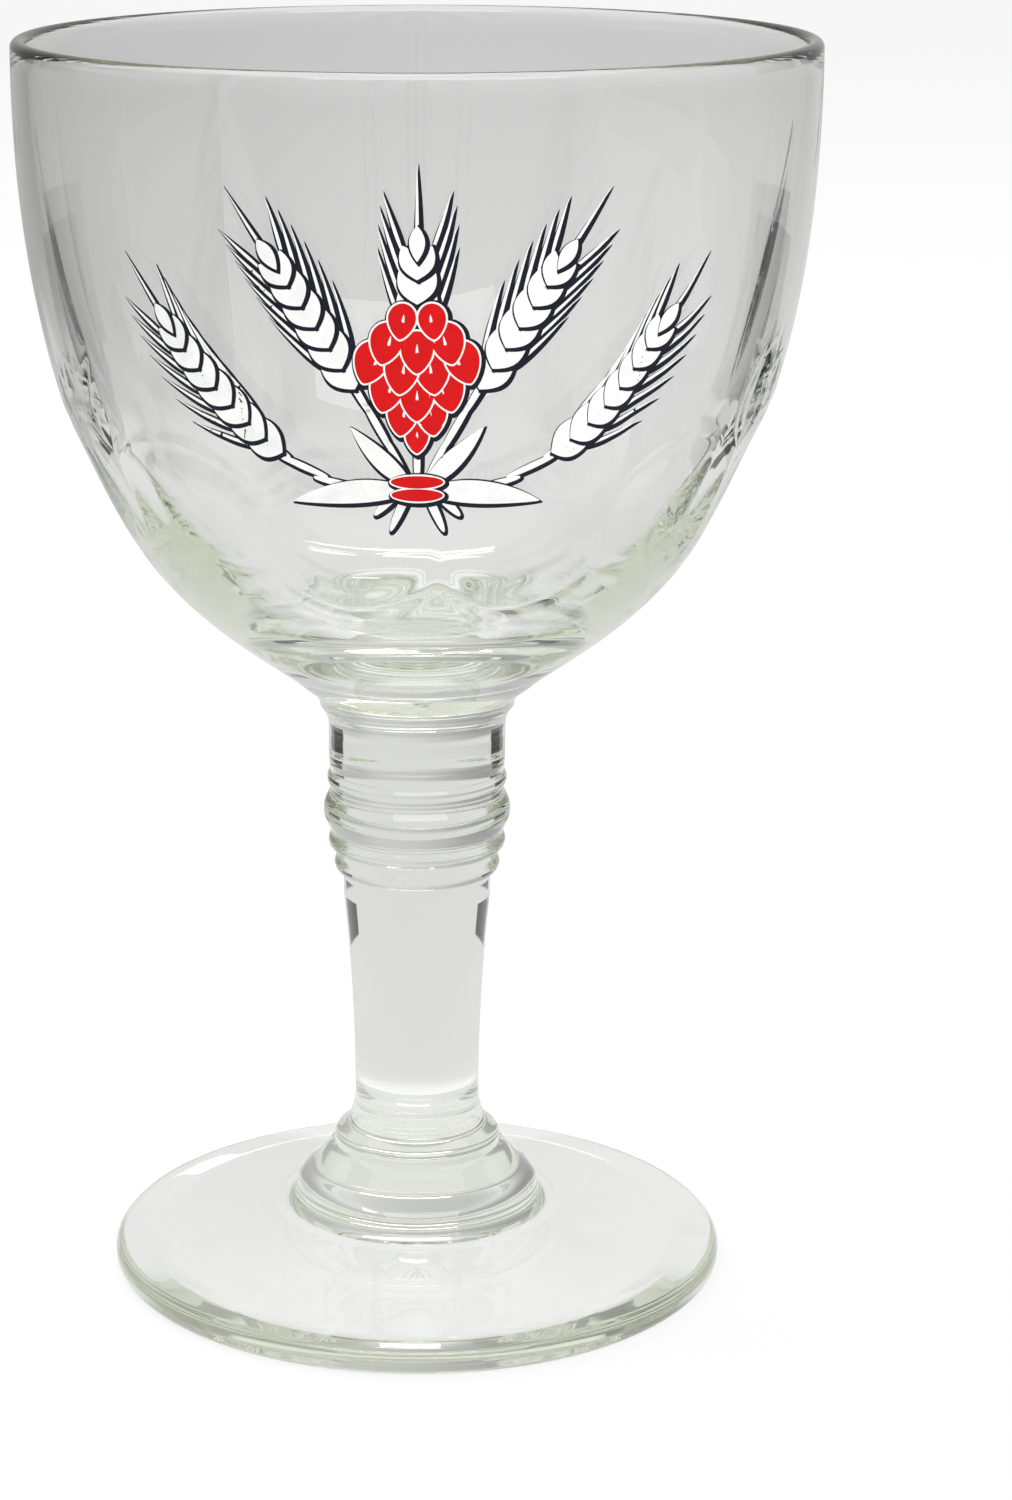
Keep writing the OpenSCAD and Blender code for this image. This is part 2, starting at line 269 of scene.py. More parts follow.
class StageLook(bpy.types.PropertyGroup):
    """Look of the floor and the surroundings"""

    floor_reach: length("Floor reach", 6000, "Half the width of the floor")
    floor_drop: length("Floor drop", 0.02, "Gap between the foot and the floor")
    floor_colour: colour("Floor", (0.97, 0.97, 0.97), "Colour of the floor as the camera sees it")
    floor_glow: share("Floor glow", 0.8, "How far the floor is plain white whatever its shadows")
    # From here to the glow in glass, the floor as the glass shows it carries painted light and shade: a
    # painted pool of light beside the glass, and painted shade farther off and to the sides
    near_tone: amount("Near tone", 1.04, "Tone of the floor beside the glass, as the glass shows it")
    near_reach: length("Near reach", 48, "How far that tone reaches")
    mid_tone: share("Middle tone", 0.76, "Tone of the floor behind the glass, as the glass shows it")
    mid_start: length("Middle start", 85, "Distance at which that tone begins")
    even_reach: length("Even reach", 280, "Distance up to which the floor is as bright at the sides")
    uneven_start: length("Uneven start", 448, "Distance from which the sides are fully darker")
    # These cards are painted shade: dark bands on the floor that only the glass shows, where no card stands
    painted_card_first: angle("Cards begin", 45.837, "Angle off straight back at which a dark card begins")
    painted_card_last: angle("Cards end", 68.755, "Angle off straight back at which it ends")
    painted_card_soft: angle("Cards' soft sides", 1.719, "Softness of its two sides")
    painted_card_near: length("Cards' near end", 245, "Distance from the glass to its near end")
    painted_card_far: length("Cards' far end", 750, "Distance from the glass to its far end")
    painted_card_edge: length("Cards' soft ends", 8, "Softness of its two ends")
    painted_card_dark: share("Cards' darkness", 0.93, "How dark the cards are")
    far_tone: share("Far tone", 0.66, "Tone of the floor far away, as the glass shows it")
    fade_distance: length("Fade", 900, "Distance over which the middle tone falls to the far one")
    # Painted light: in the glass the floor glows with its painted tone, though it is no lamp
    glass_glow: share("Glow in glass", 0.8, "How far the floor seen in the glass keeps its tone")
    room_colour: colour("Room", (0.62, 0.62, 0.62), "Colour of the surroundings")
    screen_glow: amount("Screen", 1.1, "Brightness of the pale screen overhead, as the glass shows it")
    screen_low: angle("Screen low", 18, "Height over the horizon at which the screen begins to glow")
    screen_high: angle("Screen high", 62, "Height over the horizon at which it glows fully")
    side_glow: share("Side screens", 0.90, "Brightness of the screens at both sides, as the glass shows them")
    side_first: angle("Side screens begin", 72, "Angle off straight back at which the side screens begin")
    side_last: angle("Side screens end", 112, "Angle off straight back at which they end")
    side_soft: angle("Side screens' edge", 20.054, "Softness of their upright edges")
    flag_dark: share("Flags", 0.8, "How dark the flags over the side screens are")
    flag_low: angle("Flags low", 36, "Height over the horizon of the flags' lower edge")
    flag_high: angle("Flags high", 46, "Height over the horizon of the flags' upper edge")
    flag_soft: angle("Flags' edge", 2.865, "Softness of the flags' upper and lower edges")
    left_dark: share("Left dark", 0.52, "How far the surroundings darken to the left")
    left_first: angle("Left dark begins", -11.459, "Angle to the left at which they begin to darken")
    left_last: angle("Left dark full", 42.972, "Angle to the left at which they are darkest")
    right_dark: share("Right dark", 0.2, "How far the surroundings darken to the right")
    right_first: angle("Right dark begins", 17.189, "Angle to the right at which they begin to darken")
    right_last: angle("Right dark full", 34.377, "Angle to the right at which they are darkest")
    front_first: angle("Front begins", 108.862, "Angle off straight back at which both sides pale again")
    front_last: angle("Front full", 171.887, "Angle off straight back at which they are pale again")
    bounces: count("Bounces", 40, "How often light may turn inside the glass")


class CameraView(bpy.types.PropertyGroup):
    """Place and lens of the camera"""

    distance: length("Distance", 498.8, "Distance from the glass's axis, straight in front")
    height: length("Height", 213.7, "Height over the floor")
    tilt: angle("Tilt", 74.41, "Turn from straight down up to the view")
    lens: amount("Lens", 89.84, "Focal length in millimetres")
    sensor: amount("Sensor", 36.0, "Width of the sensor in millimetres")
    shift: amount("Shift", 0.0593, "How far the frame is shifted to the right, in frame widths")
    nearest: length("Nearest", 10, "Nearest thing that the camera sees")


# Formulas in node trees

class Wire:
    """A number that runs through a node tree, so that a formula can be written as it reads."""

    def __init__(self, tree, socket):
        self.tree = tree
        self.socket = socket

    def math(self, operation, *others):
        """The result of one Math node."""
        node = add_node(self.tree, "ShaderNodeMath", operation=operation)
        for socket, value in zip(node.inputs, (self, *others)):
            feed(self.tree, socket, value)
        return Wire(self.tree, node.outputs[0])

    def __add__(self, other):
        return self.math("ADD", other)

    def __sub__(self, other):
        return self.math("SUBTRACT", other)

    def __mul__(self, other):
        return self.math("MULTIPLY", other)

    def __truediv__(self, other):
        return self.math("DIVIDE", other)

    def __neg__(self):
        return self.math("MULTIPLY", -1.0)

    def one_minus(self):
        """What is left of 1."""
        return -self + 1.0

    def over(self, limit):
        """1 where the number is above the limit, and 0 elsewhere."""
        return self.math("GREATER_THAN", limit)

    def rise(self, low, high):
        """0 below the low mark, 1 above the high one, and a smooth rise between them."""
        node = add_node(self.tree, "ShaderNodeMapRange", {0: self, 1: low, 2: high, 3: 0.0, 4: 1.0},
                        interpolation_type="SMOOTHSTEP")
        return Wire(self.tree, node.outputs[0])

    def band(self, low, high, soft):
        """1 between two marks, with soft edges outside them."""
        return self.rise(low - soft, low) * self.rise(high, high + soft).one_minus()


def add_node(tree, kind, sockets=None, **settings):
    """Adds a node, gives it its settings, and feeds its inputs."""
    node = tree.nodes.new(kind)
    place = len(tree.nodes)
    node.location = (place // 6 * 220, -(place % 6) * 190)
    for name, value in settings.items():
        setattr(node, name, value)
    for key, value in (sockets or {}).items():
        feed(tree, node.inputs[key], value)
    return node


def feed(tree, socket, value):
    """Links a wire, a node or a socket to an input, or sets the input's own value."""
    if isinstance(value, Wire):
        value = value.socket
    if isinstance(value, bpy.types.Node):
        value = value.outputs[0]
    if isinstance(value, bpy.types.NodeSocket):
        tree.links.new(value, socket)
    else:
        socket.default_value = value


def new_tree(name, kind, inputs, outputs):
    """An empty node group with named inputs and outputs, and its input and output nodes."""
    tree = bpy.data.node_groups.new(name, kind)
    for way, sockets in (("INPUT", inputs), ("OUTPUT", outputs)):
        for label, socket_kind in sockets:
            tree.interface.new_socket(label, in_out=way, socket_type=socket_kind)
    return tree, tree.nodes.new("NodeGroupInput"), tree.nodes.new("NodeGroupOutput")


def wires(tree, node, *labels):
    """The named outputs of a node, as wires."""
    return [Wire(tree, node.outputs[label]) for label in labels]


def combine(tree, x, y, z):
    """A vector from three numbers."""
    return add_node(tree, "ShaderNodeCombineXYZ", {"X": x, "Y": y, "Z": z}).outputs[0]


def separate(tree, vector):
    """The three numbers of a vector, as wires."""
    node = add_node(tree, "ShaderNodeSeparateXYZ", {0: vector})
    return [Wire(tree, socket) for socket in node.outputs]


def stored(tree, geometry, label, value, domain):
    """The geometry with a number kept on each of its points or faces."""
    return add_node(tree, "GeometryNodeStoreNamedAttribute",
                    {"Geometry": geometry, "Name": label, "Value": value},
                    data_type="FLOAT", domain=domain)


def named(tree, label, kind="FLOAT"):
    """A value that was kept under this name."""
    node = add_node(tree, "GeometryNodeInputNamedAttribute", {"Name": label}, data_type=kind)
    return Wire(tree, node.outputs[0])


def position(tree):
    """The three numbers of each point's place, as wires."""
    return separate(tree, add_node(tree, "GeometryNodeInputPosition"))


# Making pieces

def set_input(modifier, label, value):
    """Sets a modifier's input by its socket's identifier."""
    for item in modifier.node_group.interface.items_tree:
        if item.item_type == "SOCKET" and item.in_out == "INPUT" and item.name == label:
            modifier[item.identifier] = value
            return
    raise ValueError(f"{modifier.node_group.name} has no input named {label}")


def grown_piece(name, mesh, tree, inputs):
    """The plain mesh object that a geometry tree makes from a starting mesh."""
    piece = bpy.data.objects.new(name, mesh)
    bpy.context.scene.collection.objects.link(piece)
    modifier = piece.modifiers.new(tree.name, "NODES")
    modifier.node_group = tree
    for label, value in inputs.items():
        set_input(modifier, label, value)
    depsgraph = bpy.context.evaluated_depsgraph_get()
    result = bpy.data.meshes.new_from_object(piece.evaluated_get(depsgraph))
    piece.modifiers.clear()
    piece.data = result
    result.name = name
    bpy.data.meshes.remove(mesh)
    if not result.polygons:
        raise RuntimeError(f"{name} came out empty")
    return piece


# The cuts that an outline carries
CUTS = ("panel_cut", "tall_cut", "short_cut")


def profile_mesh(name, points, inward=None, cuts=None, fused=None):
    """A half outline as a mesh of loose points, with what the turning tree reads at each of them."""
    mesh = bpy.data.meshes.new(name)
    rows = len(points)
    mesh.from_pydata([(r, 0.0, z) for r, z in points], [], [])
    direction = np.zeros((rows, 3))
    if inward is not None:
        direction[:, 0] = inward[:, 0]
        direction[:, 2] = inward[:, 1]
    store(mesh, "inward", "FLOAT_VECTOR", direction)
    for label in CUTS:
        values = np.full(rows, -UNCUT) if cuts is None else cuts[label]
        store(mesh, label, "FLOAT", values)
    store(mesh, "fused", "FLOAT", np.asarray(fused, float))
    return mesh


def store(mesh, label, kind, values):
    """Keeps values on the points of a mesh."""
    attribute = mesh.attributes.new(label, kind, "POINT")
    field = "vector" if kind == "FLOAT_VECTOR" else "value"
    attribute.data.foreach_set(field, np.asarray(values, np.float32).ravel())


def soft_edged(tree, geometry, sharp_angle):
    """Smooth shading, with edges kept where the faces turn more than the sharp angle."""
    smooth = add_node(tree, "GeometryNodeSetShadeSmooth", {"Geometry": geometry})
    turn = Wire(tree, add_node(tree, "GeometryNodeInputMeshEdgeAngle").outputs[0])
    return add_node(tree, "GeometryNodeSetShadeSmooth",
                    {"Geometry": smooth, "Selection": turn.over(sharp_angle), "Shade Smooth": False},
                    domain="EDGE")


def turning_tree():
    """Turns a half outline about +Z and carves flat arched panels and creased leaves into it."""
    tree, given, result = new_tree("turned_glass", "GeometryNodeTree", [
        ("Outline", "NodeSocketGeometry"),
        ("Columns", "NodeSocketInt"),
        ("Panels", "NodeSocketInt"),
        ("First Panel", "NodeSocketFloat"),
        ("Gathering", "NodeSocketFloat"),
        ("Flatness", "NodeSocketFloat"),
        ("Leaf Tilt", "NodeSocketFloat"),
        ("Groove Depth", "NodeSocketFloat"),
        ("Groove Width", "NodeSocketFloat"),
        ("Softness", "NodeSocketFloat"),
        ("Sharp Angle", "NodeSocketFloat"),
        ("Glass", "NodeSocketMaterial"),
    ], [("Piece", "NodeSocketGeometry")])
    outline = given.outputs["Outline"]
    columns, panels, first_panel, gathering = wires(
        tree, given, "Columns", "Panels", "First Panel", "Gathering")
    rows = Wire(tree, add_node(tree, "GeometryNodeAttributeDomainSize", {"Geometry": outline}).outputs[0])
    grid = add_node(tree, "GeometryNodeMeshGrid", {"Vertices X": columns + 1.0, "Vertices Y": rows})
    index = Wire(tree, add_node(tree, "GeometryNodeInputIndex").outputs[0])
    column = ((index + 0.5) / rows).math("FLOOR")
    row = index - column * rows

    def read(source, kind="FLOAT"):
        """The outline's value at this row."""
        sample = add_node(tree, "GeometryNodeSampleIndex",
                          {"Geometry": outline, "Value": source, "Index": row}, data_type=kind)
        return Wire(tree, sample.outputs[0])

    place = read(add_node(tree, "GeometryNodeInputPosition"), "FLOAT_VECTOR")
    radius, _, height = separate(tree, place)
    inward_r, _, inward_z = separate(tree, read(named(tree, "inward", "FLOAT_VECTOR"), "FLOAT_VECTOR"))
    cuts = [read(named(tree, label)) for label in CUTS]

    # The nudge keeps a column on the border of two panels in the second of them
    nudge = 1e-4
    along = column * panels / columns
    panel = (along + nudge).math("FLOOR")
    within = along - panel
    within = within - gathering * (within * FULL_TURN).math("SINE") / FULL_TURN
    pitch = panels.math("POWER", -1.0) * FULL_TURN
    turn = first_panel + (panel + within - 0.5) * pitch
    outwards = inward_r.math("ABSOLUTE") * radius
    shape = wires(tree, given, "Flatness", "Leaf Tilt", "Softness", "Groove Depth", "Groove Width")
    depth = carved_depth(shape, cuts, panel, within, pitch, outwards)

    new_radius = radius + inward_r * depth
    carved = combine(tree, new_radius * turn.math("COSINE"), new_radius * turn.math("SINE"),
                     height + inward_z * depth)
    shaped = add_node(tree, "GeometryNodeSetPosition", {"Geometry": grid, "Position": carved})
    kept = stored(tree, shaped, "fused", read(named(tree, "fused")), "POINT")
    closed = add_node(tree, "GeometryNodeMergeByDistance", {"Geometry": kept, "Distance": GLASS_WELD})
    feed(tree, result.inputs[0], finished_glass(tree, given, closed))
    return tree


def carved_depth(shape, cuts, panel, within, pitch, outwards):
    """How deep the glass is cut: as deep as its deepest cut, with a fine line round it."""
    flatness, leaf_tilt, softness, groove_depth, groove_width = shape
    panel_cut, tall_cut, short_cut = cuts
    off_middle = ((within - 0.5) * pitch).math("ABSOLUTE")
    off_side = pitch * 0.5 - off_middle

    def flat_cut(from_middle):
        """Depth of a flat panel whose middle is that far away round the glass."""
        lift = from_middle.math("COSINE").math("POWER", -1.0) - 1.0
        return panel_cut - outwards * lift * flatness

    # Each leaf stands on the border of two panels, and every second one is tall
    border = panel + within.over(0.5) + 1.0
    tall = (border / 2.0).math("FRACT").over(0.25)
    crease = leaf_tilt.math("COSINE") / (off_side + leaf_tilt).math("COSINE") - 1.0
    leaf = tall_cut * tall + short_cut * tall.one_minus() - outwards * crease
    depth = flat_cut(off_middle)
    for other in (flat_cut(pitch - off_middle), leaf):
        depth = depth.math("SMOOTH_MAX", other, softness)
    near_border = depth / groove_width
    groove = (-(near_border * near_border)).math("EXPONENT") * groove_depth
    return depth.math("SMOOTH_MAX", 0.0, softness) + groove


def finished_glass(tree, given, closed):
    """The closed piece with its shading, the mark on its fused faces, and its material."""
    creased = soft_edged(tree, closed, Wire(tree, given.outputs["Sharp Angle"]))
    # A face is fused where all its points are
    wholly = 0.99
    marked = stored(tree, creased, "joint", named(tree, "fused").over(wholly), "FACE")
    bare = add_node(tree, "GeometryNodeRemoveAttribute", {"Geometry": marked, "Name": "fused"})
    realised = add_node(tree, "GeometryNodeRealizeInstances", {"Geometry": bare})
    return add_node(tree, "GeometryNodeSetMaterial",
                    {"Geometry": realised, "Material": given.outputs["Glass"]})


# What the turning tree is given for a piece that has no cuts
PLAIN = {
    "Panels": 1, "First Panel": 0.0, "Gathering": 0.0, "Flatness": 1.0, "Leaf Tilt": 0.1,
    "Groove Depth": 0.0, "Groove Width": 1.0, "Softness": 0.0,
}


def turned_piece(name, mesh, columns, look, carving=None):
    """A closed glass piece turned from its half outline."""
    tree = bpy.data.node_groups.get("turned_glass") or turning_tree()
    return grown_piece(name, mesh, tree, {
        **(carving or PLAIN), "Columns": columns, "Sharp Angle": look.sharp_angle,
        "Glass": glass_material(name, look),
    })


# Outlines

def arc(middle, radius, first, last, steps):
    """Points of an arc between two angles in degrees, as rows of radius and height."""
    turns = np.radians(np.linspace(first, last, steps + 1))
    return np.column_stack([middle[0] + radius * np.cos(turns), middle[1] + radius * np.sin(turns)])


def bend(start, pull, end, steps):
    """Points of a smooth bend that a third point pulls."""
    t = np.linspace(0, 1, steps + 1)[:, None]
    return (1 - t) ** 2 * np.array(start) + 2 * (1 - t) * t * np.array(pull) + t ** 2 * np.array(end)


def rounded(corners, steps=6):
    """Points of a line through corners, each given as radius, height and how far it is rounded."""
    rows = []
    for i, (r, z, soft) in enumerate(corners):
        here = np.array([r, z])
        if soft == 0 or i in (0, len(corners) - 1):
            rows.append(here[None])
            continue
        before = np.array(corners[i - 1][:2]) - here
        after = np.array(corners[i + 1][:2]) - here
        # A bend takes up at most this share of the line on each side of its corner
        most = 0.49
        cut_before = min(soft, np.linalg.norm(before) * most) * before / np.linalg.norm(before)
        cut_after = min(soft, np.linalg.norm(after) * most) * after / np.linalg.norm(after)
        rows.append(bend(here + cut_before, here, here + cut_after, steps))
    return np.vstack(rows)


def evenly(points, step):
    """The same line with points at most one step apart."""
    rows = [points[:1]]
    for p, q in zip(points[:-1], points[1:]):
        pieces = max(1, math.ceil(np.linalg.norm(q - p) / step))
        rows.append(p + (q - p) * np.linspace(0, 1, pieces + 1)[1:, None])
    return np.vstack(rows)


class BowlCurve:
    """The bowl's outer and inner curves, as in the part's source."""

    def __init__(self, s):
        self.s = s
        self.lip = s.rim_wall / 2
        rim = np.array([s.rim_width / 2, s.glass_height - self.lip])
        base = np.array([s.base_radius, s.base_height])
        rim_handle = rim + s.rim_pull * np.array([math.sin(s.rim_lean), -math.cos(s.rim_lean)])
        base_handle = base + s.base_pull * np.array([math.cos(s.base_slope), math.sin(s.base_slope)])
        self.anchors = (rim, rim_handle, base_handle, base)
        t = np.linspace(1, 0, num=2001)
        self.table = (self.point(t)[:, 1], t)

    def point(self, t):
        """Points of the outer face, from 0 at the rim to 1 at the base."""
        t = np.atleast_1d(t)[:, None]
        a, b, c, d = self.anchors
        return (1 - t) ** 3 * a + 3 * (1 - t) ** 2 * t * b + 3 * (1 - t) * t ** 2 * c + t ** 3 * d

    def slope(self, t):
        """Direction of the outer face, downwards."""
        t = np.atleast_1d(t)[:, None]
        a, b, c, d = self.anchors
        return (1 - t) ** 2 * (b - a) + 2 * (1 - t) * t * (c - b) + t ** 2 * (d - c)

    def inward(self, t):
        """Unit vectors that point into the glass."""
        d = self.slope(t)
        return np.column_stack([d[:, 1], -d[:, 0]]) / np.linalg.norm(d, axis=1)[:, None]

    def at_height(self, z):
        """Where along the outer face a height is reached."""
        return np.interp(z, *self.table)

    def wall(self, z):
        """Thickness of the wall at a height."""
        s = self.s
        low = np.clip((s.glass_height - z) / (s.glass_height - s.low_wall_height), 0, None)
        return s.rim_wall + (s.low_wall - s.rim_wall) * low ** s.thickening

    def inner(self, steps, floor_steps):
        """Points of the inner face from the rim to the middle of the floor."""
        s = self.s
        end = float(self.at_height(s.low_wall_height))
        t = np.linspace(0, end, steps + 1)
        outer = self.point(t)
        wall = outer + self.inward(t) * self.wall(outer[:, 1])[:, None]
        wall[-1] = (self.point(end) + self.inward(end) * s.low_wall)[0]
        down = self.slope(end)[0]
        pull_r = wall[-1][0] + down[0] * (s.floor_height - wall[-1][1]) / down[1]
        floor = bend(wall[-1], (pull_r, s.floor_height), (0, s.floor_height), floor_steps)
        return np.vstack([wall, floor[1:]])


def bowl_heights(s):
    """Heights of the rows of the outer face, close together where the glass is carved."""
    # Where each run of rows begins, and how far apart its rows are
    marks = (
        (s.base_height, 1.3 * MM),
        (s.panel_low - 3 * MM, 0.4 * MM),
        (s.leaf_low - 3 * MM, 0.3 * MM),
        (s.panel_top + 2.5 * MM, 0.8 * MM),
        (s.tall_leaf_top + 2 * MM, 1.6 * MM),
        (s.glass_height - s.rim_wall / 2, 0),
    )
    rows = [np.array([marks[0][0]])]
    for (low, step), (high, _) in zip(marks[:-1], marks[1:]):
        rows.append(np.linspace(low, high, max(2, round((high - low) / step)) + 1)[1:])
    return np.concatenate(rows)


def panel_depths(u, s):
    """Depth of a panel from its arch at 0 to its low end at 1, and below 0 beyond them."""
    upper = np.sin(QUARTER_TURN * u / s.panel_peak)
    lower = np.cos(QUARTER_TURN * (u - s.panel_peak) / (1 - s.panel_peak))
    inside = np.where(u < s.panel_peak, upper, lower)
    above = QUARTER_TURN / s.panel_peak * u
    below = -QUARTER_TURN / (1 - s.panel_peak) * (u - 1)
    return s.panel_depth * np.where(u < 0, above, np.where(u > 1, below, inside))


def leaf_depths(u, deepest):
    """Depth of a leaf from tip to tip, and below 0 beyond them."""
    beyond = math.pi * np.minimum(u, 1 - u)
    return deepest * np.where((u < 0) | (u > 1), beyond, np.sin(math.pi * np.clip(u, 0, 1)))


def bowl_profile(s):
    """The bowl's half outline with its cuts, from the joint up the outside and down the inside."""
    curve = BowlCurve(s)
    t = curve.at_height(bowl_heights(s))
    outer = curve.point(t)
    neck = bend((s.seam_radius, s.seam_height + JOINT_GAP),
                (s.seam_radius, (s.seam_height + s.base_height) / 2),
                (s.base_radius, s.base_height), steps=8)
    lip = arc((s.rim_width / 2 - curve.lip, s.glass_height - curve.lip), curve.lip, 0, 180, steps=12)
    inner = curve.inner(steps=44, floor_steps=12)
    points = np.vstack([[(0, s.seam_height + JOINT_GAP)], neck, outer[1:], lip[1:], inner[1:]])
    rows = len(points)
    first = len(neck)
    last = first + len(outer) - 1
    inward = np.zeros((rows, 2))
    inward[first:last] = curve.inward(t)[1:]

    def spread(low, high):
        """How far down a cut each row lies, as a share of the cut's length."""
        top = curve.at_height(high)
        return (t[1:] - top) / (curve.at_height(low) - top)

    cuts = {label: np.full(rows, -UNCUT) for label in CUTS}
    cuts["panel_cut"][first:last] = panel_depths(spread(s.panel_low, s.panel_top), s)
    cuts["tall_cut"][first:last] = leaf_depths(spread(s.leaf_low, s.tall_leaf_top), s.tall_leaf_depth)
    cuts["short_cut"][first:last] = leaf_depths(spread(s.leaf_low, s.short_leaf_top), s.short_leaf_depth)
    fused = np.zeros(rows)
    fused[:2] = 1
    return profile_mesh("bowl_outline", points, inward, cuts, fused)


def smooth_max(a, b, soft):
    """The greater of two curves, with the valley between them rounded."""
    h = np.clip(soft - np.abs(a - b), 0, None) / soft
    return np.maximum(a, b) + h ** 3 * soft / 6


def stem_heights(s):
    """Heights of the rows above the base ring, close together on the ringed knop."""
    # Where each run of rows begins, and how many rows it has
    marks = (
        (s.ring_top_height, 15),
        (s.low_height, 36),
        (s.top_height, 150),
        (s.neck_low + 1 * MM, 8),
        (s.neck_top, 14),
        (s.seam_height - JOINT_GAP, 0),
    )
    return np.concatenate([np.linspace(low, high, rows)[1:]
                           for (low, rows), (high, _) in zip(marks[:-1], marks[1:])])


def stem_profile(s):
    """The stem's half outline, from the lower joint up to the upper one."""
    base = rounded([
        (s.ring_radius, s.foot_seam_height + JOINT_GAP, 0),
        (s.ring_radius, (s.ring_top_height + s.foot_seam_height) / 2, s.ring_round),
        (s.ring_top_radius, s.ring_top_height, 0),
    ])
    flare = bend((s.ring_top_radius, s.ring_top_height),
                 (s.low_radius, (s.low_height + s.ring_top_height) / 2),
                 (s.low_radius, s.low_height), steps=14)
    waist = bend((s.low_radius, s.low_height), (s.low_radius, (s.top_height + s.low_height) / 2),
                 (s.top_radius, s.top_height), steps=40)
    knop_foot = bend((s.top_radius, s.top_height),
                     (s.top_radius, (s.lower_bead_height + s.top_height) / 2),
                     (s.lower_bead_radius - s.lower_bead_round, s.lower_bead_height), steps=12)
    cove = bend((s.neck_radius, s.neck_top), (s.neck_radius, (s.seam_height + s.neck_top) / 2),
                (s.seam_radius, s.seam_height - JOINT_GAP), steps=10)
    core = np.vstack([
        flare[1:], waist[1:], knop_foot[1:],
        [(s.last_groove_radius, s.lower_bead_height), (s.last_groove_radius, s.middle_bead_height)],
        [(s.low_groove_radius, s.middle_bead_height), (s.low_groove_radius, s.knop_height)],
        [(s.groove_radius, s.knop_height), (s.groove_radius, s.upper_bead_height + s.upper_bead_round)],
        [(s.neck_radius, s.neck_low)],
        cove,
    ])
    heights = stem_heights(s)
    radii = np.interp(heights, core[:, 1], core[:, 0])
    for name in ("upper_bead", "knop", "middle_bead", "lower_bead"):
        bead_r, bead_z, bead_round = (getattr(s, f"{name}_{part}") for part in ("radius", "height", "round"))
        reach = bead_round ** 2 - (heights - bead_z) ** 2
        ring = np.where(reach > 0, bead_r - bead_round + np.sqrt(np.clip(reach, 0, None)), 0)
        radii = smooth_max(radii, ring, s.softness)
    side = np.column_stack([radii, heights])
    points = np.vstack([
        [(0, s.foot_seam_height + JOINT_GAP)], evenly(base, step=0.4 * MM), side,
        [(0, s.seam_height - JOINT_GAP)],
    ])
    fused = np.zeros(len(points))
    fused[:2] = 1
    fused[-2:] = 1
    return profile_mesh("stem_outline", points, fused=fused)


def foot_profile(s):
    """The foot's half outline, from the hollow under it, round the edge and up to the joint."""
    edge = s.width / 2 - s.edge_round
    hollow_r = edge - s.rest_width
    hollow = bend((0, s.hollow_height), (hollow_r / 4, s.hollow_height), (hollow_r, 0), steps=30)
    low_edge = arc((edge, s.edge_round), s.edge_round, -90, 0, steps=10)
    top_edge = arc((edge, s.edge_height - s.edge_round), s.edge_round, 0, 80, steps=10)
    cove = bend((s.cove_radius, s.rise_height), (s.collar_radius, s.rise_height),
                (s.collar_radius, s.collar_height), steps=14)
    side = bend((s.collar_radius, s.collar_height),
                (s.collar_radius, (s.collar_edge_height + s.collar_height) / 2),
                (s.collar_edge_radius, s.collar_edge_height), steps=12)
    collar = rounded([
        (*side[-2], 0),
        (s.collar_edge_radius, s.collar_edge_height, s.softness),
        (s.collar_top_radius, s.seam_height - s.collar_top_drop, s.softness),
        (s.ring_radius, s.seam_height - JOINT_GAP, 0),
    ])
    rest = evenly(np.array([hollow[-1], low_edge[0]]), step=1 * MM)
    top = evenly(np.array([top_edge[-1], cove[0]]), step=0.8 * MM)
    points = np.vstack([
        hollow, rest[1:], low_edge[1:], top_edge, top[1:-1], cove, side[1:-2],
        evenly(collar, step=0.35 * MM)[1:], [(0, s.seam_height - JOINT_GAP)],
    ])
    fused = np.zeros(len(points))
    fused[-2:] = 1
    return profile_mesh("foot_outline", points, fused=fused)


# The printed ornament

MARK_VALUES = ("turn", "length", "width", "belly", "fullness", "curl", "rise", "grow")


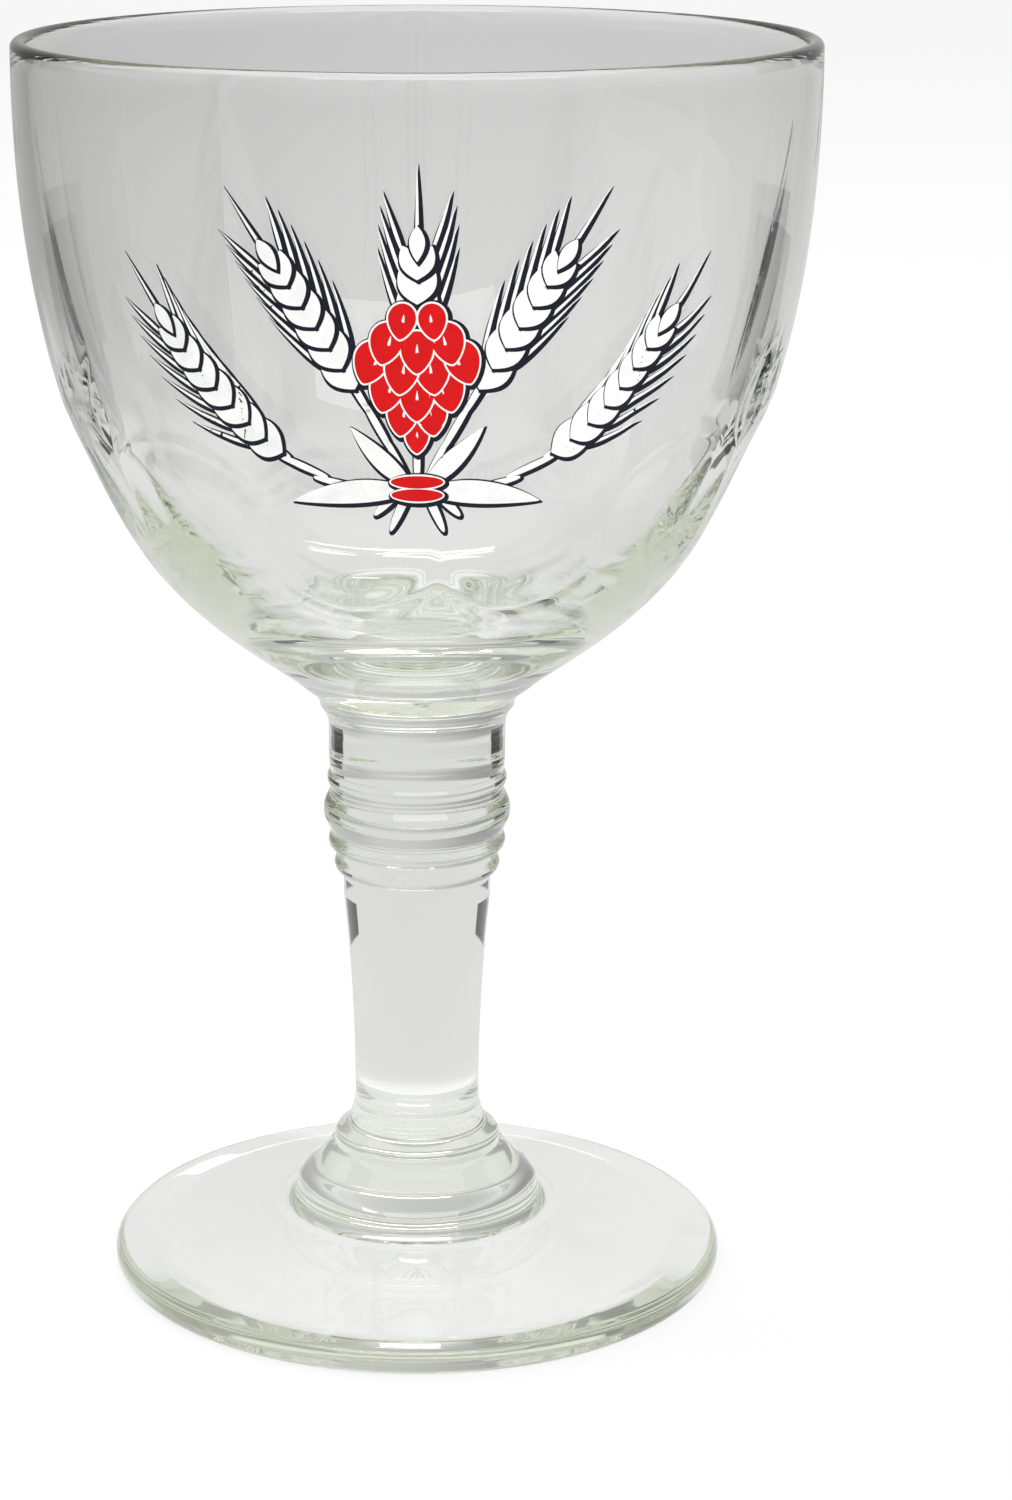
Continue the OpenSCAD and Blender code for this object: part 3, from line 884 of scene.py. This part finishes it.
class Drawing:
    """Leaf-shaped marks on a flat sheet, drawn one over the other in three enamels."""

    def __init__(self, s):
        self.s = s
        self.marks = {"white": [], "black": [], "red": []}

    def add(self, enamel, at, level, turn, length, width,
            belly=1.0, fullness=0.8, curl=0.0, rise=0.0, grow=0.0):
        """One mark that runs from a point in a direction.

        Its level counts the marks under its start, and its rise how many more are under its tip.
        """
        shape = (turn, length, width, belly, fullness, curl, rise * self.s.level_step, grow)
        self.marks[enamel].append(((*at, level), shape))

    def outlined(self, enamel, at, level, *shape, **more):
        """A mark with the black outline and its fall to the lower right."""
        s = self.s
        fallen = (at[0] + s.shadow, at[1] - s.shadow)
        if enamel == "red":
            self.add("black", fallen, level, *shape, **more, grow=s.outline + s.white_line)
            self.lined(at, level + 1, *shape, **more)
        else:
            self.add("black", fallen, level, *shape, **more, grow=s.outline)
            self.add(enamel, at, level + 1, *shape, **more)

    def lined(self, at, level, *shape, **more):
        """A red mark with a white line round it."""
        self.add("white", at, level, *shape, **more, grow=self.s.white_line)
        self.add("red", at, level + 1, *shape, **more)

    def mirrored(self, side):
        """The drawing's own add, for the right side (1) or turned over to the left (-1)."""
        if side > 0:
            return self.outlined

        def turned_over(enamel, at, level, turn, *size, curl=0.0, **more):
            self.outlined(enamel, (-at[0], at[1]), level, math.pi - turn, *size, curl=-curl, **more)
        return turned_over

    def mesh(self, enamel):
        """The marks of one enamel as loose points, with what the film tree reads at each of them."""
        s = self.s
        rows = self.marks[enamel]
        places = np.array([place for place, _ in rows])
        places[:, 2] = s.base_level + s.level_step * places[:, 2]
        values = np.array([shape for _, shape in rows])
        mesh = bpy.data.meshes.new(f"{enamel}_marks")
        mesh.from_pydata(places.tolist(), [], [])
        store(mesh, "start", "FLOAT_VECTOR", places)
        for column, label in enumerate(MARK_VALUES):
            store(mesh, label, "FLOAT", values[:, column])
        return mesh


# Shapes of the marks
STALK = {"fullness": 0.3}
CUT_STALK = {"fullness": 0.4}
AWN = {"belly": 0.55}
GRAIN = {"belly": 1.15, "rise": -8}
LAST_GRAIN = {"belly": 1.1, "rise": -8}
LEAF = {"belly": 0.8}
TIE_BAND = {"fullness": 0.45}
SCALE = {"belly": 0.78, "fullness": 0.62}

# How hard bristles and grains bend back to their ear, in radians a metre
AWN_CURL = 12.0
GRAIN_CURL = 30.0

# How many levels the marks of an ear lie above its stalk
AWN_LEVEL = 2
GRAIN_LEVEL = 12
LAST_GRAIN_LEVEL = 14

# Ears of the sheaf's right half, and the one in its middle: their level, where the stalk starts, what
# pulls it and where the ear ends, all in millimetres from the middle of the tie, and the share of the
# stalk below the grains
EARS = (
    (0, (1.6, -1.0), (19.0, -1.0), (33.0, 19.0), 0.42),
    (2, (0.8, 0.0), (8.0, 14.0), (17.5, 28.0), 0.42),
)
MIDDLE_EAR = (4, (0.0, 0.0), (0.0, 15.0), (0.0, 29.5), 0.55)

# Cut ends of stalks under the tie, on the right: their level, start in millimetres from the middle of
# the tie, direction in radians, length against a leaf's and width against a stalk's
CUT_ENDS = (
    (3, (0.6, 0.5), -1.1, 0.442, 1.3),
    (3, (1.4, 0.5), -0.75, 0.39, 1.3),
)

# Leaves on the right: their level, start, direction, length and width against a full leaf's, and bend
LEAVES = (
    (10, (1.0, -0.5), 0.02, 1.0, 1.0, -16.0),
    (7, (1.0, 0.5), 0.62, 0.62, 0.8, 28.0),
)

# Heights of the tie's two bands, in millimetres from its middle, and their level
TIE_BANDS = (-1.1, 0.7)
TIE_LEVEL = 12

# Rows of the hop cone from below: how many scales each has, and their size. Its height is that of the
# middle row
HOP_ROWS = ((1, 0.72), (2, 0.92), (3, 1.0), (4, 1.0), (3, 0.95), (2, 0.8))
HOP_MIDDLE = 2.2
HOP_LEVEL = 20
SCALE_RISE = 10
VEIN_LEVEL = 6


def draw_ear(draw, s, level, start, pull, end, bare):
    """One ear: a curved stalk, pairs of grains with their bristles, and a grain at the tip."""
    tie = np.array([0.0, s.tie_height])
    path = bend(*(tie + np.array(point) * MM for point in (start, pull, end)), steps=60)
    run = np.concatenate([[0], np.cumsum(np.linalg.norm(np.diff(path, axis=0), axis=1))])

    def spot(distance, step=0.5 * MM):
        """Place and direction at a distance along the stalk."""
        at, beyond = ([np.interp(d, run, path[:, i]) for i in (0, 1)] for d in (distance, distance + step))
        return at, math.atan2(beyond[1] - at[1], beyond[0] - at[0])

    whole = run[-1]
    longest_piece = 6 * MM
    pieces = math.ceil(whole / longest_piece)
    for i in range(pieces):
        at, turn = spot(whole * i / pieces)
        draw("white", at, level, turn, whole / pieces * s.stalk_overlap, s.stalk_width, **STALK)
    pairs = math.floor(whole * (1 - bare) / s.grain_pitch)
    for i in range(pairs):
        at, turn = spot(whole - (pairs - i) * s.grain_pitch)
        size = 1.0 - s.ear_taper * (i / pairs) ** 2
        for side in (-1, 1):
            lean = turn + side * s.grain_lean
            out = s.awn_start * size * s.grain_length
            tip = (at[0] + out * math.cos(lean), at[1] + out * math.sin(lean))
            draw("white", tip, level + AWN_LEVEL, lean - side * s.awn_lean, s.awn_length * size,
                 s.awn_width, curl=-side * AWN_CURL, **AWN)
        for side in (-1, 1):
            lean = turn + side * s.grain_lean
            draw("white", at, level + GRAIN_LEVEL, lean, s.grain_length * size, s.grain_width * size,
                 curl=-side * GRAIN_CURL, **GRAIN)
    at, turn = spot(whole - s.tip_drop)
    draw("white", at, level + AWN_LEVEL, turn, s.awn_length * s.last_awn, s.awn_width, **AWN)
    draw("white", at, level + LAST_GRAIN_LEVEL, turn, s.grain_length * s.last_grain_length,
         s.grain_width * s.last_grain_width, **LAST_GRAIN)


def draw_hop(drawing, s, level):
    """The hop cone: rows of red scales, the upper ones over the lower."""
    for row, (scales, size) in enumerate(HOP_ROWS):
        height = s.hop_height + (row - HOP_MIDDLE) * s.hop_pitch
        for i in range(scales):
            off = i - (scales - 1) / 2
            at = (off * s.scale_width * s.scale_spread, height + abs(off) * s.scale_lift * s.hop_pitch)
            fallen = (at[0] + s.shadow, at[1] - s.shadow)
            vein = (at[0], at[1] - s.vein_start * s.scale_length * size)
            turn = -QUARTER_TURN + off * s.scale_fan
            order = level + 2 * (i % 2)
            shape = (turn, s.scale_length * size, s.scale_width * size)
            drawing.add("black", fallen, level - 2, *shape, grow=s.outline + s.white_line, **SCALE)
            drawing.lined(at, order, *shape, rise=SCALE_RISE, **SCALE)
            drawing.add("white", vein, order + VEIN_LEVEL, turn, s.vein_length * s.scale_length * size,
                        s.vein_width * s.scale_width)


def sheaf_drawing(s):
    """The whole ornament: five ears, long leaves, a red tie and the hop cone over them."""
    drawing = Drawing(s)
    tie = np.array([0.0, s.tie_height])
    for side in (1, -1):
        draw = drawing.mirrored(side)
        for ear in EARS:
            draw_ear(draw, s, *ear)
        for level, start, turn, long, wide in CUT_ENDS:
            draw("white", tie + np.array(start) * MM, level, turn, s.leaf_length * long,
                 s.stalk_width * wide, **CUT_STALK)
        for level, start, turn, long, wide, curl in LEAVES:
            draw("white", tie + np.array(start) * MM, level, turn, s.leaf_length * long,
                 s.leaf_width * wide, curl=curl, **LEAF)
    draw_ear(drawing.outlined, s, *MIDDLE_EAR)
    for height in TIE_BANDS:
        drawing.outlined("red", (-s.tie_length / 2, s.tie_height + height * MM), TIE_LEVEL, 0.0,
                         s.tie_length, s.tie_width, **TIE_BAND)
    draw_hop(drawing, s, HOP_LEVEL)
    return drawing


def film_tree():
    """Draws a leaf-shaped mark at each starting point, gives it body and lays it on the glass."""
    tree, given, result = new_tree("enamel_film", "GeometryNodeTree", [
        ("Marks", "NodeSocketGeometry"),
        ("Glass", "NodeSocketObject"),
        ("Flat Radius", "NodeSocketFloat"),
        ("Root Depth", "NodeSocketFloat"),
        ("Along", "NodeSocketInt"),
        ("Across", "NodeSocketInt"),
        ("Enamel", "NodeSocketMaterial"),
    ], [("Print", "NodeSocketGeometry")])
    flat_radius, root_depth, along_steps, across_steps = wires(
        tree, given, "Flat Radius", "Root Depth", "Along", "Across")
    grid = add_node(tree, "GeometryNodeMeshGrid", {
        "Size X": 1.0, "Size Y": 1.0, "Vertices X": along_steps + 1.0, "Vertices Y": across_steps + 1.0})
    x, y, _ = position(tree)
    ruled = stored(tree, grid, "along", x + 0.5, "POINT")
    ruled = stored(tree, ruled, "across", y * 2.0, "POINT")
    copies = add_node(tree, "GeometryNodeInstanceOnPoints",
                      {"Points": given.outputs["Marks"], "Instance": ruled})
    marks = add_node(tree, "GeometryNodeRealizeInstances", {"Geometry": copies})

    film = with_body(tree, drawn_marks(tree, marks), root_depth)
    laid = laid_on_glass(tree, film, given.outputs["Glass"], flat_radius)
    sharp_angle = math.radians(40)
    finished = add_node(tree, "GeometryNodeSetMaterial",
                        {"Geometry": soft_edged(tree, laid, sharp_angle),
                         "Material": given.outputs["Enamel"]})
    for label in (*MARK_VALUES, "start", "along", "across"):
        finished = add_node(tree, "GeometryNodeRemoveAttribute", {"Geometry": finished, "Name": label})
    feed(tree, result.inputs[0], add_node(tree, "GeometryNodeRealizeInstances", {"Geometry": finished}))
    return tree


def drawn_marks(tree, marks):
    """Each grid bent into its leaf shape on the flat sheet, with its level as its height."""
    turn, long, wide, belly, fullness, curl, rise, grow = (named(tree, label) for label in MARK_VALUES)
    share_along = (named(tree, "along") * math.pi).math("COSINE") * -0.5 + 0.5
    ahead = share_along * (long + grow * 2.0) - grow
    body = (share_along.math("POWER", belly) * math.pi).math("SINE").math("MAXIMUM", 0.0)
    half_width = (wide * 0.5 + grow) * body.math("POWER", fullness)
    aside = named(tree, "across") * half_width + curl * ahead * ahead * 0.5
    start_x, start_y, level = separate(tree, named(tree, "start", "FLOAT_VECTOR").socket)
    flat = combine(tree, start_x + ahead * turn.math("COSINE") - aside * turn.math("SINE"),
                   start_y + ahead * turn.math("SINE") + aside * turn.math("COSINE"),
                   level + rise * share_along)
    drawn = add_node(tree, "GeometryNodeSetPosition", {"Geometry": marks, "Position": flat})
    return add_node(tree, "GeometryNodeMergeByDistance", {"Geometry": drawn, "Distance": MARK_WELD})


def with_body(tree, faces, root_depth):
    """The marks closed below, with their undersides at the root depth."""
    # The walls start a little below the marks, so that they are never of no height
    start = 1e-5
    walls = add_node(tree, "GeometryNodeExtrudeMesh",
                     {"Mesh": faces, "Offset": (0.0, 0.0, -1.0), "Offset Scale": start, "Individual": False})
    x, y, _ = position(tree)
    sunk = add_node(tree, "GeometryNodeSetPosition", {
        "Geometry": walls.outputs["Mesh"], "Selection": walls.outputs["Top"],
        "Position": combine(tree, x, y, -root_depth)})
    outwards = add_node(tree, "GeometryNodeFlipFaces", {"Mesh": sunk})
    both = add_node(tree, "GeometryNodeJoinGeometry")
    tree.links.new(outwards.outputs[0], both.inputs[0])
    tree.links.new(faces.outputs[0], both.inputs[0])
    return add_node(tree, "GeometryNodeMergeByDistance", {"Geometry": both, "Distance": FILM_WELD})


def laid_on_glass(tree, film, glass_object, flat_radius):
    """The flat film wrapped round the glass's front, each point at its height over the glass."""
    x, y, z = position(tree)
    turn = x / flat_radius
    out_x = turn.math("SINE")
    out_y = -turn.math("COSINE")
    # The rays start well outside the glass
    reach = flat_radius * 1.5
    glass = add_node(tree, "GeometryNodeObjectInfo", {"Object": glass_object})
    hit = add_node(tree, "GeometryNodeRaycast", {
        "Target Geometry": glass.outputs["Geometry"],
        "Source Position": combine(tree, out_x * reach, out_y * reach, y),
        "Ray Direction": combine(tree, -out_x, -out_y, 0.0),
        "Ray Length": reach})
    hit_x, hit_y, hit_z = separate(tree, hit.outputs["Hit Position"])
    place = combine(tree, hit_x + out_x * z, hit_y + out_y * z, hit_z)
    return add_node(tree, "GeometryNodeSetPosition", {"Geometry": film, "Position": place})


# Materials

def ripple_group():
    """Shader group: the slow unevenness that a mould leaves in glass, as a height."""
    name = "glass_ripple"
    if name in bpy.data.node_groups:
        return bpy.data.node_groups[name]
    tree, given, result = new_tree(name, "ShaderNodeTree", [
        ("Size", "NodeSocketFloat"),
        ("Upright", "NodeSocketFloat"),
    ], [("Height", "NodeSocketFloat")])
    place = add_node(tree, "ShaderNodeTexCoord").outputs["Object"]
    x, y, z = separate(tree, place)
    size, upright = wires(tree, given, "Size", "Upright")
    squeezed = combine(tree, x / size, y / size, z / size / upright)
    slow = add_node(tree, "ShaderNodeTexNoise", {"Vector": squeezed, "Scale": 1.0, "Detail": 1.0})
    feed(tree, result.inputs["Height"], Wire(tree, slow.outputs[0]) - 0.5)
    return tree


def new_material(name):
    """An empty material with its output node."""
    material = bpy.data.materials.new(name)
    material.use_nodes = True
    tree = material.node_tree
    tree.nodes.clear()
    return material, tree, tree.nodes.new("ShaderNodeOutputMaterial")


def glass_material(name, look):
    """Clear fire-polished soda-lime glass with a faint green body.

    The faces inside a fused joint are clear, so that one piece goes on into the next unseen.
    """
    material, tree, output = new_material(name)
    joint = Wire(tree, add_node(tree, "ShaderNodeAttribute", attribute_name="joint").outputs["Fac"])
    ripple = add_node(tree, "ShaderNodeGroup", node_tree=ripple_group())
    ripple.inputs["Size"].default_value = look.ripple_size
    ripple.inputs["Upright"].default_value = look.ripple_upright
    bump = add_node(tree, "ShaderNodeBump",
                    {"Height": ripple, "Strength": 1.0, "Distance": look.ripple_depth})
    surface = add_node(tree, "ShaderNodeBsdfPrincipled", {
        "Base Color": WHITE,
        "Roughness": look.roughness,
        "IOR": look.refraction,
        "Transmission Weight": 1.0,
        "Alpha": joint.one_minus(),
        "Normal": bump,
    })
    volume = add_node(tree, "ShaderNodeVolumeAbsorption",
                      {"Color": (*look.tint, 1.0), "Density": look.tint_strength})
    tree.links.new(surface.outputs[0], output.inputs["Surface"])
    tree.links.new(volume.outputs[0], output.inputs["Volume"])
    return material


def enamel_group():
    """Shader group: the grain of fired enamel as a height, and its slow change of shade as a mask."""
    name = "enamel_grain"
    if name in bpy.data.node_groups:
        return bpy.data.node_groups[name]
    tree, given, result = new_tree(name, "ShaderNodeTree", [
        ("Size", "NodeSocketFloat"),
    ], [("Height", "NodeSocketFloat"), ("Shade", "NodeSocketFloat")])
    place = add_node(tree, "ShaderNodeTexCoord").outputs["Object"]
    pitch = Wire(tree, given.outputs["Size"]).math("POWER", -1.0)
    # Fine grain, and a shade that changes eight times as slowly
    slow_pitch = pitch * 0.12
    fine, slow = (Wire(tree, add_node(tree, "ShaderNodeTexNoise",
                                      {"Vector": place, "Scale": scale, "Detail": 2.0}).outputs[0])
                  for scale in (pitch, slow_pitch))
    feed(tree, result.inputs["Height"], fine - 0.5)
    shade = slow * 0.7 + fine * 0.3
    feed(tree, result.inputs["Shade"], shade.rise(0.35, 0.65))
    return tree


def enamel_material(name, colour_value, look):
    """Glossy screen-printed enamel, fired on, a little uneven in shade and surface."""
    material, tree, output = new_material(name)
    grain = add_node(tree, "ShaderNodeGroup", node_tree=enamel_group())
    grain.inputs["Size"].default_value = look.grain_size
    worn = tuple(channel * (1 - look.shade_change) for channel in colour_value)
    shade = add_node(tree, "ShaderNodeMix", {"Factor": grain.outputs["Shade"]}, data_type="RGBA")
    shade.inputs["A"].default_value = (*worn, 1.0)
    shade.inputs["B"].default_value = (*colour_value, 1.0)
    bump = add_node(tree, "ShaderNodeBump", {"Height": grain.outputs["Height"], "Strength": 1.0,
                                             "Distance": look.grain_depth})
    surface = add_node(tree, "ShaderNodeBsdfPrincipled", {
        "Base Color": shade.outputs["Result"],
        "Roughness": look.roughness,
        "IOR": look.refraction,
        "Specular IOR Level": look.gloss,
        "Normal": bump,
    })
    tree.links.new(surface.outputs[0], output.inputs["Surface"])
    return material


# The stage

def build_camera(view):
    """The camera at the photograph's viewing angle."""
    camera = bpy.data.cameras.new("camera")
    camera.sensor_width = view.sensor
    camera.lens = view.lens
    camera.shift_x = view.shift
    camera.clip_start = view.nearest
    item = bpy.data.objects.new("camera", camera)
    item.location = (0.0, -view.distance, view.height)
    item.rotation_euler = Euler((view.tilt, 0.0, 0.0))
    bpy.context.scene.collection.objects.link(item)
    bpy.context.scene.camera = item


def side_tone(look, turn):
    """How bright the surroundings are at an angle off straight back: darker on the left."""
    behind = turn.math("ABSOLUTE").rise(look.front_first, look.front_last).one_minus()
    left = (-turn).rise(look.left_first, look.left_last) * behind * look.left_dark
    right = turn.rise(look.right_first, look.right_last) * behind * look.right_dark
    return left.one_minus() * right.one_minus()


def painted_floor_shading(tree, look):
    """Painted light and shade on the floor, as the glass shows it: a painted pool of light beside the glass,
    painted shade away from it and to the sides, and painted dark bands.
    """
    x, y, _ = separate(tree, add_node(tree, "ShaderNodeTexCoord").outputs["Object"])
    turn = x.math("ARCTAN2", y)
    away = (x * x + y * y).math("SQRT")
    # Painted shade: the floor grows darker away from the glass
    fade = (-away / look.fade_distance).math("EXPONENT")
    near = away.rise(look.near_reach, look.mid_start).one_minus()
    beyond = away.rise(look.even_reach, look.uneven_start)
    tone = fade * (look.mid_tone - look.far_tone) + look.far_tone
    # Painted pool of light beside the glass
    tone = tone + near * (look.near_tone - look.mid_tone)
    # Painted shade to the left and right, beyond the even reach
    tone = tone * (side_tone(look, turn) * beyond + beyond.one_minus())
    # Painted shade: two dark bands on the floor, standing in for dark cards
    painted_cards = (turn.math("ABSOLUTE").band(look.painted_card_first, look.painted_card_last, look.painted_card_soft)
             * away.band(look.painted_card_near, look.painted_card_far, look.painted_card_edge))
    return tone * (painted_cards * look.painted_card_dark).one_minus()


def build_floor(look):
    """A floor that the camera sees plain and pale, keeping the glass's soft shadow; in the glass it carries
    painted light and shade, and glows.
    """
    mesh = bpy.data.meshes.new("floor")
    reach = look.floor_reach
    mesh.from_pydata([(-reach, -reach, 0), (reach, -reach, 0), (reach, reach, 0), (-reach, reach, 0)],
                     [], [(0, 1, 2, 3)])
    floor = bpy.data.objects.new("floor", mesh)
    floor.location.z = -look.floor_drop
    bpy.context.scene.collection.objects.link(floor)
    material, tree, output = new_material("pale_floor")
    tone = painted_floor_shading(tree, look)
    painted_grey = combine(tree, tone, tone, tone)
    lit = add_node(tree, "ShaderNodeBsdfDiffuse", {"Color": painted_grey})
    white = add_node(tree, "ShaderNodeBsdfDiffuse", {"Color": (*look.floor_colour, 1.0)})
    glow = add_node(tree, "ShaderNodeEmission", {"Color": WHITE, "Strength": 1.0})
    # Painted light: in the glass the floor glows with its painted tone, though it is no lamp
    pale_glow = add_node(tree, "ShaderNodeEmission", {"Color": painted_grey, "Strength": 1.0})
    seen = add_node(tree, "ShaderNodeMixShader", {0: look.floor_glow, 1: white, 2: glow})
    in_glass = add_node(tree, "ShaderNodeMixShader", {0: look.glass_glow, 1: lit, 2: pale_glow})
    feed(tree, output.inputs["Surface"], by_ray(tree, seen, in_glass, white))
    mesh.materials.append(material)


def by_ray(tree, seen, in_glass, plain):
    """One shader for what the camera sees, one for what the glass shows, and one for all other light."""
    rays = add_node(tree, "ShaderNodeLightPath")
    refracted, mirrored = wires(tree, rays, "Is Transmission Ray", "Is Glossy Ray")
    indirect = add_node(tree, "ShaderNodeMixShader", {0: refracted + mirrored, 1: plain, 2: in_glass})
    return add_node(tree, "ShaderNodeMixShader", {0: rays.outputs["Is Camera Ray"], 1: indirect, 2: seen})


def build_world(look):
    """The surroundings: plain light, and for the glass pale screens and dark flags."""
    world = bpy.data.worlds.new("studio")
    world.use_nodes = True
    tree = world.node_tree
    tree.nodes.clear()
    output = tree.nodes.new("ShaderNodeOutputWorld")
    x, y, z = separate(tree, add_node(tree, "ShaderNodeTexCoord").outputs["Generated"])
    height = z.math("ARCSINE")
    turn = x.math("ARCTAN2", y)
    sides = turn.math("ABSOLUTE").band(look.side_first, look.side_last, look.side_soft)
    flags = sides * height.band(look.flag_low, look.flag_high, look.flag_soft)
    overhead = height.rise(look.screen_low, look.screen_high)
    tone = side_tone(look, turn) * look.room_colour[0]
    tone = sides * look.side_glow + sides.one_minus() * tone
    tone = overhead * look.screen_glow + overhead.one_minus() * tone
    tone = tone * (flags * look.flag_dark).one_minus()
    seen, in_glass, plain = (
        add_node(tree, "ShaderNodeBackground", {"Color": shade, "Strength": 1.0})
        for shade in (WHITE, combine(tree, tone, tone, tone), (*look.room_colour, 1.0)))
    feed(tree, output.inputs["Surface"], by_ray(tree, seen, in_glass, plain))
    bpy.context.scene.world = world


# Name, place, width and height in metres, power in watts, and if the lamp is mirrored in the glass and
# seen through it
LAMPS = (
    ("top_lamp", (-0.35, 0.25, 1.2), (0.9, 0.9), 6.0, False, False),
    ("right_lamp", (1.3, -0.6, 0.7), (0.9, 0.9), 4.0, False, False),
    ("front_lamp", (0.1, -1.1, 1.1), (1.8, 0.7), 10.0, True, False),
    ("strip_lamp", (0.08, 1.15, 1.0), (0.60, 0.14), 1.9, False, True),
)


def build_lamp(name, place, target, size, energy, mirrored, seen_through):
    """One soft lamp that faces a point, and may be mirrored in the glass or seen through it."""
    lamp = bpy.data.lights.new(name, "AREA")
    lamp.shape = "RECTANGLE"
    lamp.size, lamp.size_y = size
    lamp.energy = energy
    item = bpy.data.objects.new(name, lamp)
    item.location = place
    item.visible_glossy = mirrored
    item.visible_transmission = seen_through
    item.visible_camera = False
    item.rotation_euler = (Vector(target) - Vector(place)).to_track_quat("-Z", "Y").to_euler()
    bpy.context.scene.collection.objects.link(item)


def build_lamps():
    """The soft lamps round the glass."""
    bowl_middle = (0.0, 0.0, 0.12)
    for name, place, size, energy, mirrored, seen_through in LAMPS:
        build_lamp(name, place, bowl_middle, size, energy, mirrored, seen_through)


# Operators

class CHALICE_OT_bowl(bpy.types.Operator):
    """Builds the bowl with its arched panels and leaf cuts"""

    bl_idname = "chalice.bowl"
    bl_label = "Bowl"

    def execute(self, context):
        s = context.scene.chalice_bowl
        carving = {
            "Panels": s.panels, "First Panel": s.panel_turn, "Gathering": s.gathering,
            "Flatness": s.panel_flatness, "Leaf Tilt": s.leaf_tilt, "Softness": s.softness,
            "Groove Depth": s.groove_depth, "Groove Width": s.groove_width,
        }
        piece = turned_piece("bowl_glass", bowl_profile(s), s.columns, context.scene.chalice_glass, carving)
        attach(piece, "root")
        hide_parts("bowl")
        return {"FINISHED"}


class CHALICE_OT_stem(bpy.types.Operator):
    """Builds the solid stem with its ringed knop"""

    bl_idname = "chalice.stem"
    bl_label = "Stem"

    def execute(self, context):
        s = context.scene.chalice_stem
        piece = turned_piece("stem_glass", stem_profile(s), s.columns, context.scene.chalice_glass)
        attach(piece, "root")
        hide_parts("stem")
        return {"FINISHED"}


class CHALICE_OT_foot(bpy.types.Operator):
    """Builds the foot with its stepped collar"""

    bl_idname = "chalice.foot"
    bl_label = "Foot"

    def execute(self, context):
        s = context.scene.chalice_foot
        piece = turned_piece("foot_glass", foot_profile(s), s.columns, context.scene.chalice_glass)
        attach(piece, "root")
        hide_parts("foot")
        return {"FINISHED"}


class CHALICE_OT_print(bpy.types.Operator):
    """Prints the ornament on the front of the bowl, in black, white and red enamel"""

    bl_idname = "chalice.print"
    bl_label = "Print"

    def execute(self, context):
        s = context.scene.chalice_print
        look = context.scene.chalice_enamel
        glass = bpy.data.objects.get("bowl_glass")
        if glass is None:
            raise RuntimeError("the print needs the bowl")
        drawing = sheaf_drawing(s)
        tree = film_tree()
        for enamel in ("black", "white", "red"):
            slot = f"enamel_{enamel}"
            piece = grown_piece(f"print_{enamel}", drawing.mesh(enamel), tree, {
                "Glass": glass, "Flat Radius": s.flat_radius, "Root Depth": s.root_depth,
                "Along": s.along, "Across": s.across,
                "Enamel": enamel_material(slot, getattr(look, enamel), look),
            })
            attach(piece, "root")
        return {"FINISHED"}


class CHALICE_OT_stage(bpy.types.Operator):
    """Lays out the floor, the surroundings, the lamps and the camera"""

    bl_idname = "chalice.stage"
    bl_label = "Stage"

    def execute(self, context):
        look = context.scene.chalice_stage
        build_floor(look)
        build_world(look)
        build_lamps()
        cycles = context.scene.cycles
        cycles.max_bounces = look.bounces
        cycles.transmission_bounces = look.bounces
        cycles.glossy_bounces = look.bounces
        cycles.transparent_max_bounces = look.bounces
        build_camera(context.scene.chalice_camera)
        return {"FINISHED"}


class CHALICE_PT_panel(bpy.types.Panel):
    """Lists the steps that build the glass"""

    bl_idname = "CHALICE_PT_panel"
    bl_label = "Chalice beer glass"
    bl_space_type = "VIEW_3D"
    bl_region_type = "UI"
    bl_category = "Chalice"

    def draw(self, context):
        for step in STEPS:
            self.layout.operator(step.bl_idname)


GROUPS = {
    "chalice_bowl": BowlSizes,
    "chalice_stem": StemSizes,
    "chalice_foot": FootSizes,
    "chalice_print": PrintSizes,
    "chalice_glass": GlassLook,
    "chalice_enamel": EnamelLook,
    "chalice_stage": StageLook,
    "chalice_camera": CameraView,
}
STEPS = (CHALICE_OT_bowl, CHALICE_OT_stem, CHALICE_OT_foot, CHALICE_OT_print, CHALICE_OT_stage)


def register():
    """Registers the classes and their settings."""
    for kind in (*GROUPS.values(), *STEPS, CHALICE_PT_panel):
        bpy.utils.register_class(kind)
    for name, kind in GROUPS.items():
        setattr(bpy.types.Scene, name, PointerProperty(type=kind))


def unregister():
    """Takes them off again."""
    for name in GROUPS:
        delattr(bpy.types.Scene, name)
    for kind in reversed((*GROUPS.values(), *STEPS, CHALICE_PT_panel)):
        bpy.utils.unregister_class(kind)


def main():
    """Builds everything in order."""
    register()
    bpy.context.scene.view_settings.view_transform = "Standard"
    for step in STEPS:
        if getattr(bpy.ops.chalice, step.bl_idname.split(".")[1])() != {"FINISHED"}:
            raise RuntimeError(f"{step.bl_label} wasn't finished")


if __name__ == "__main__":
    main()
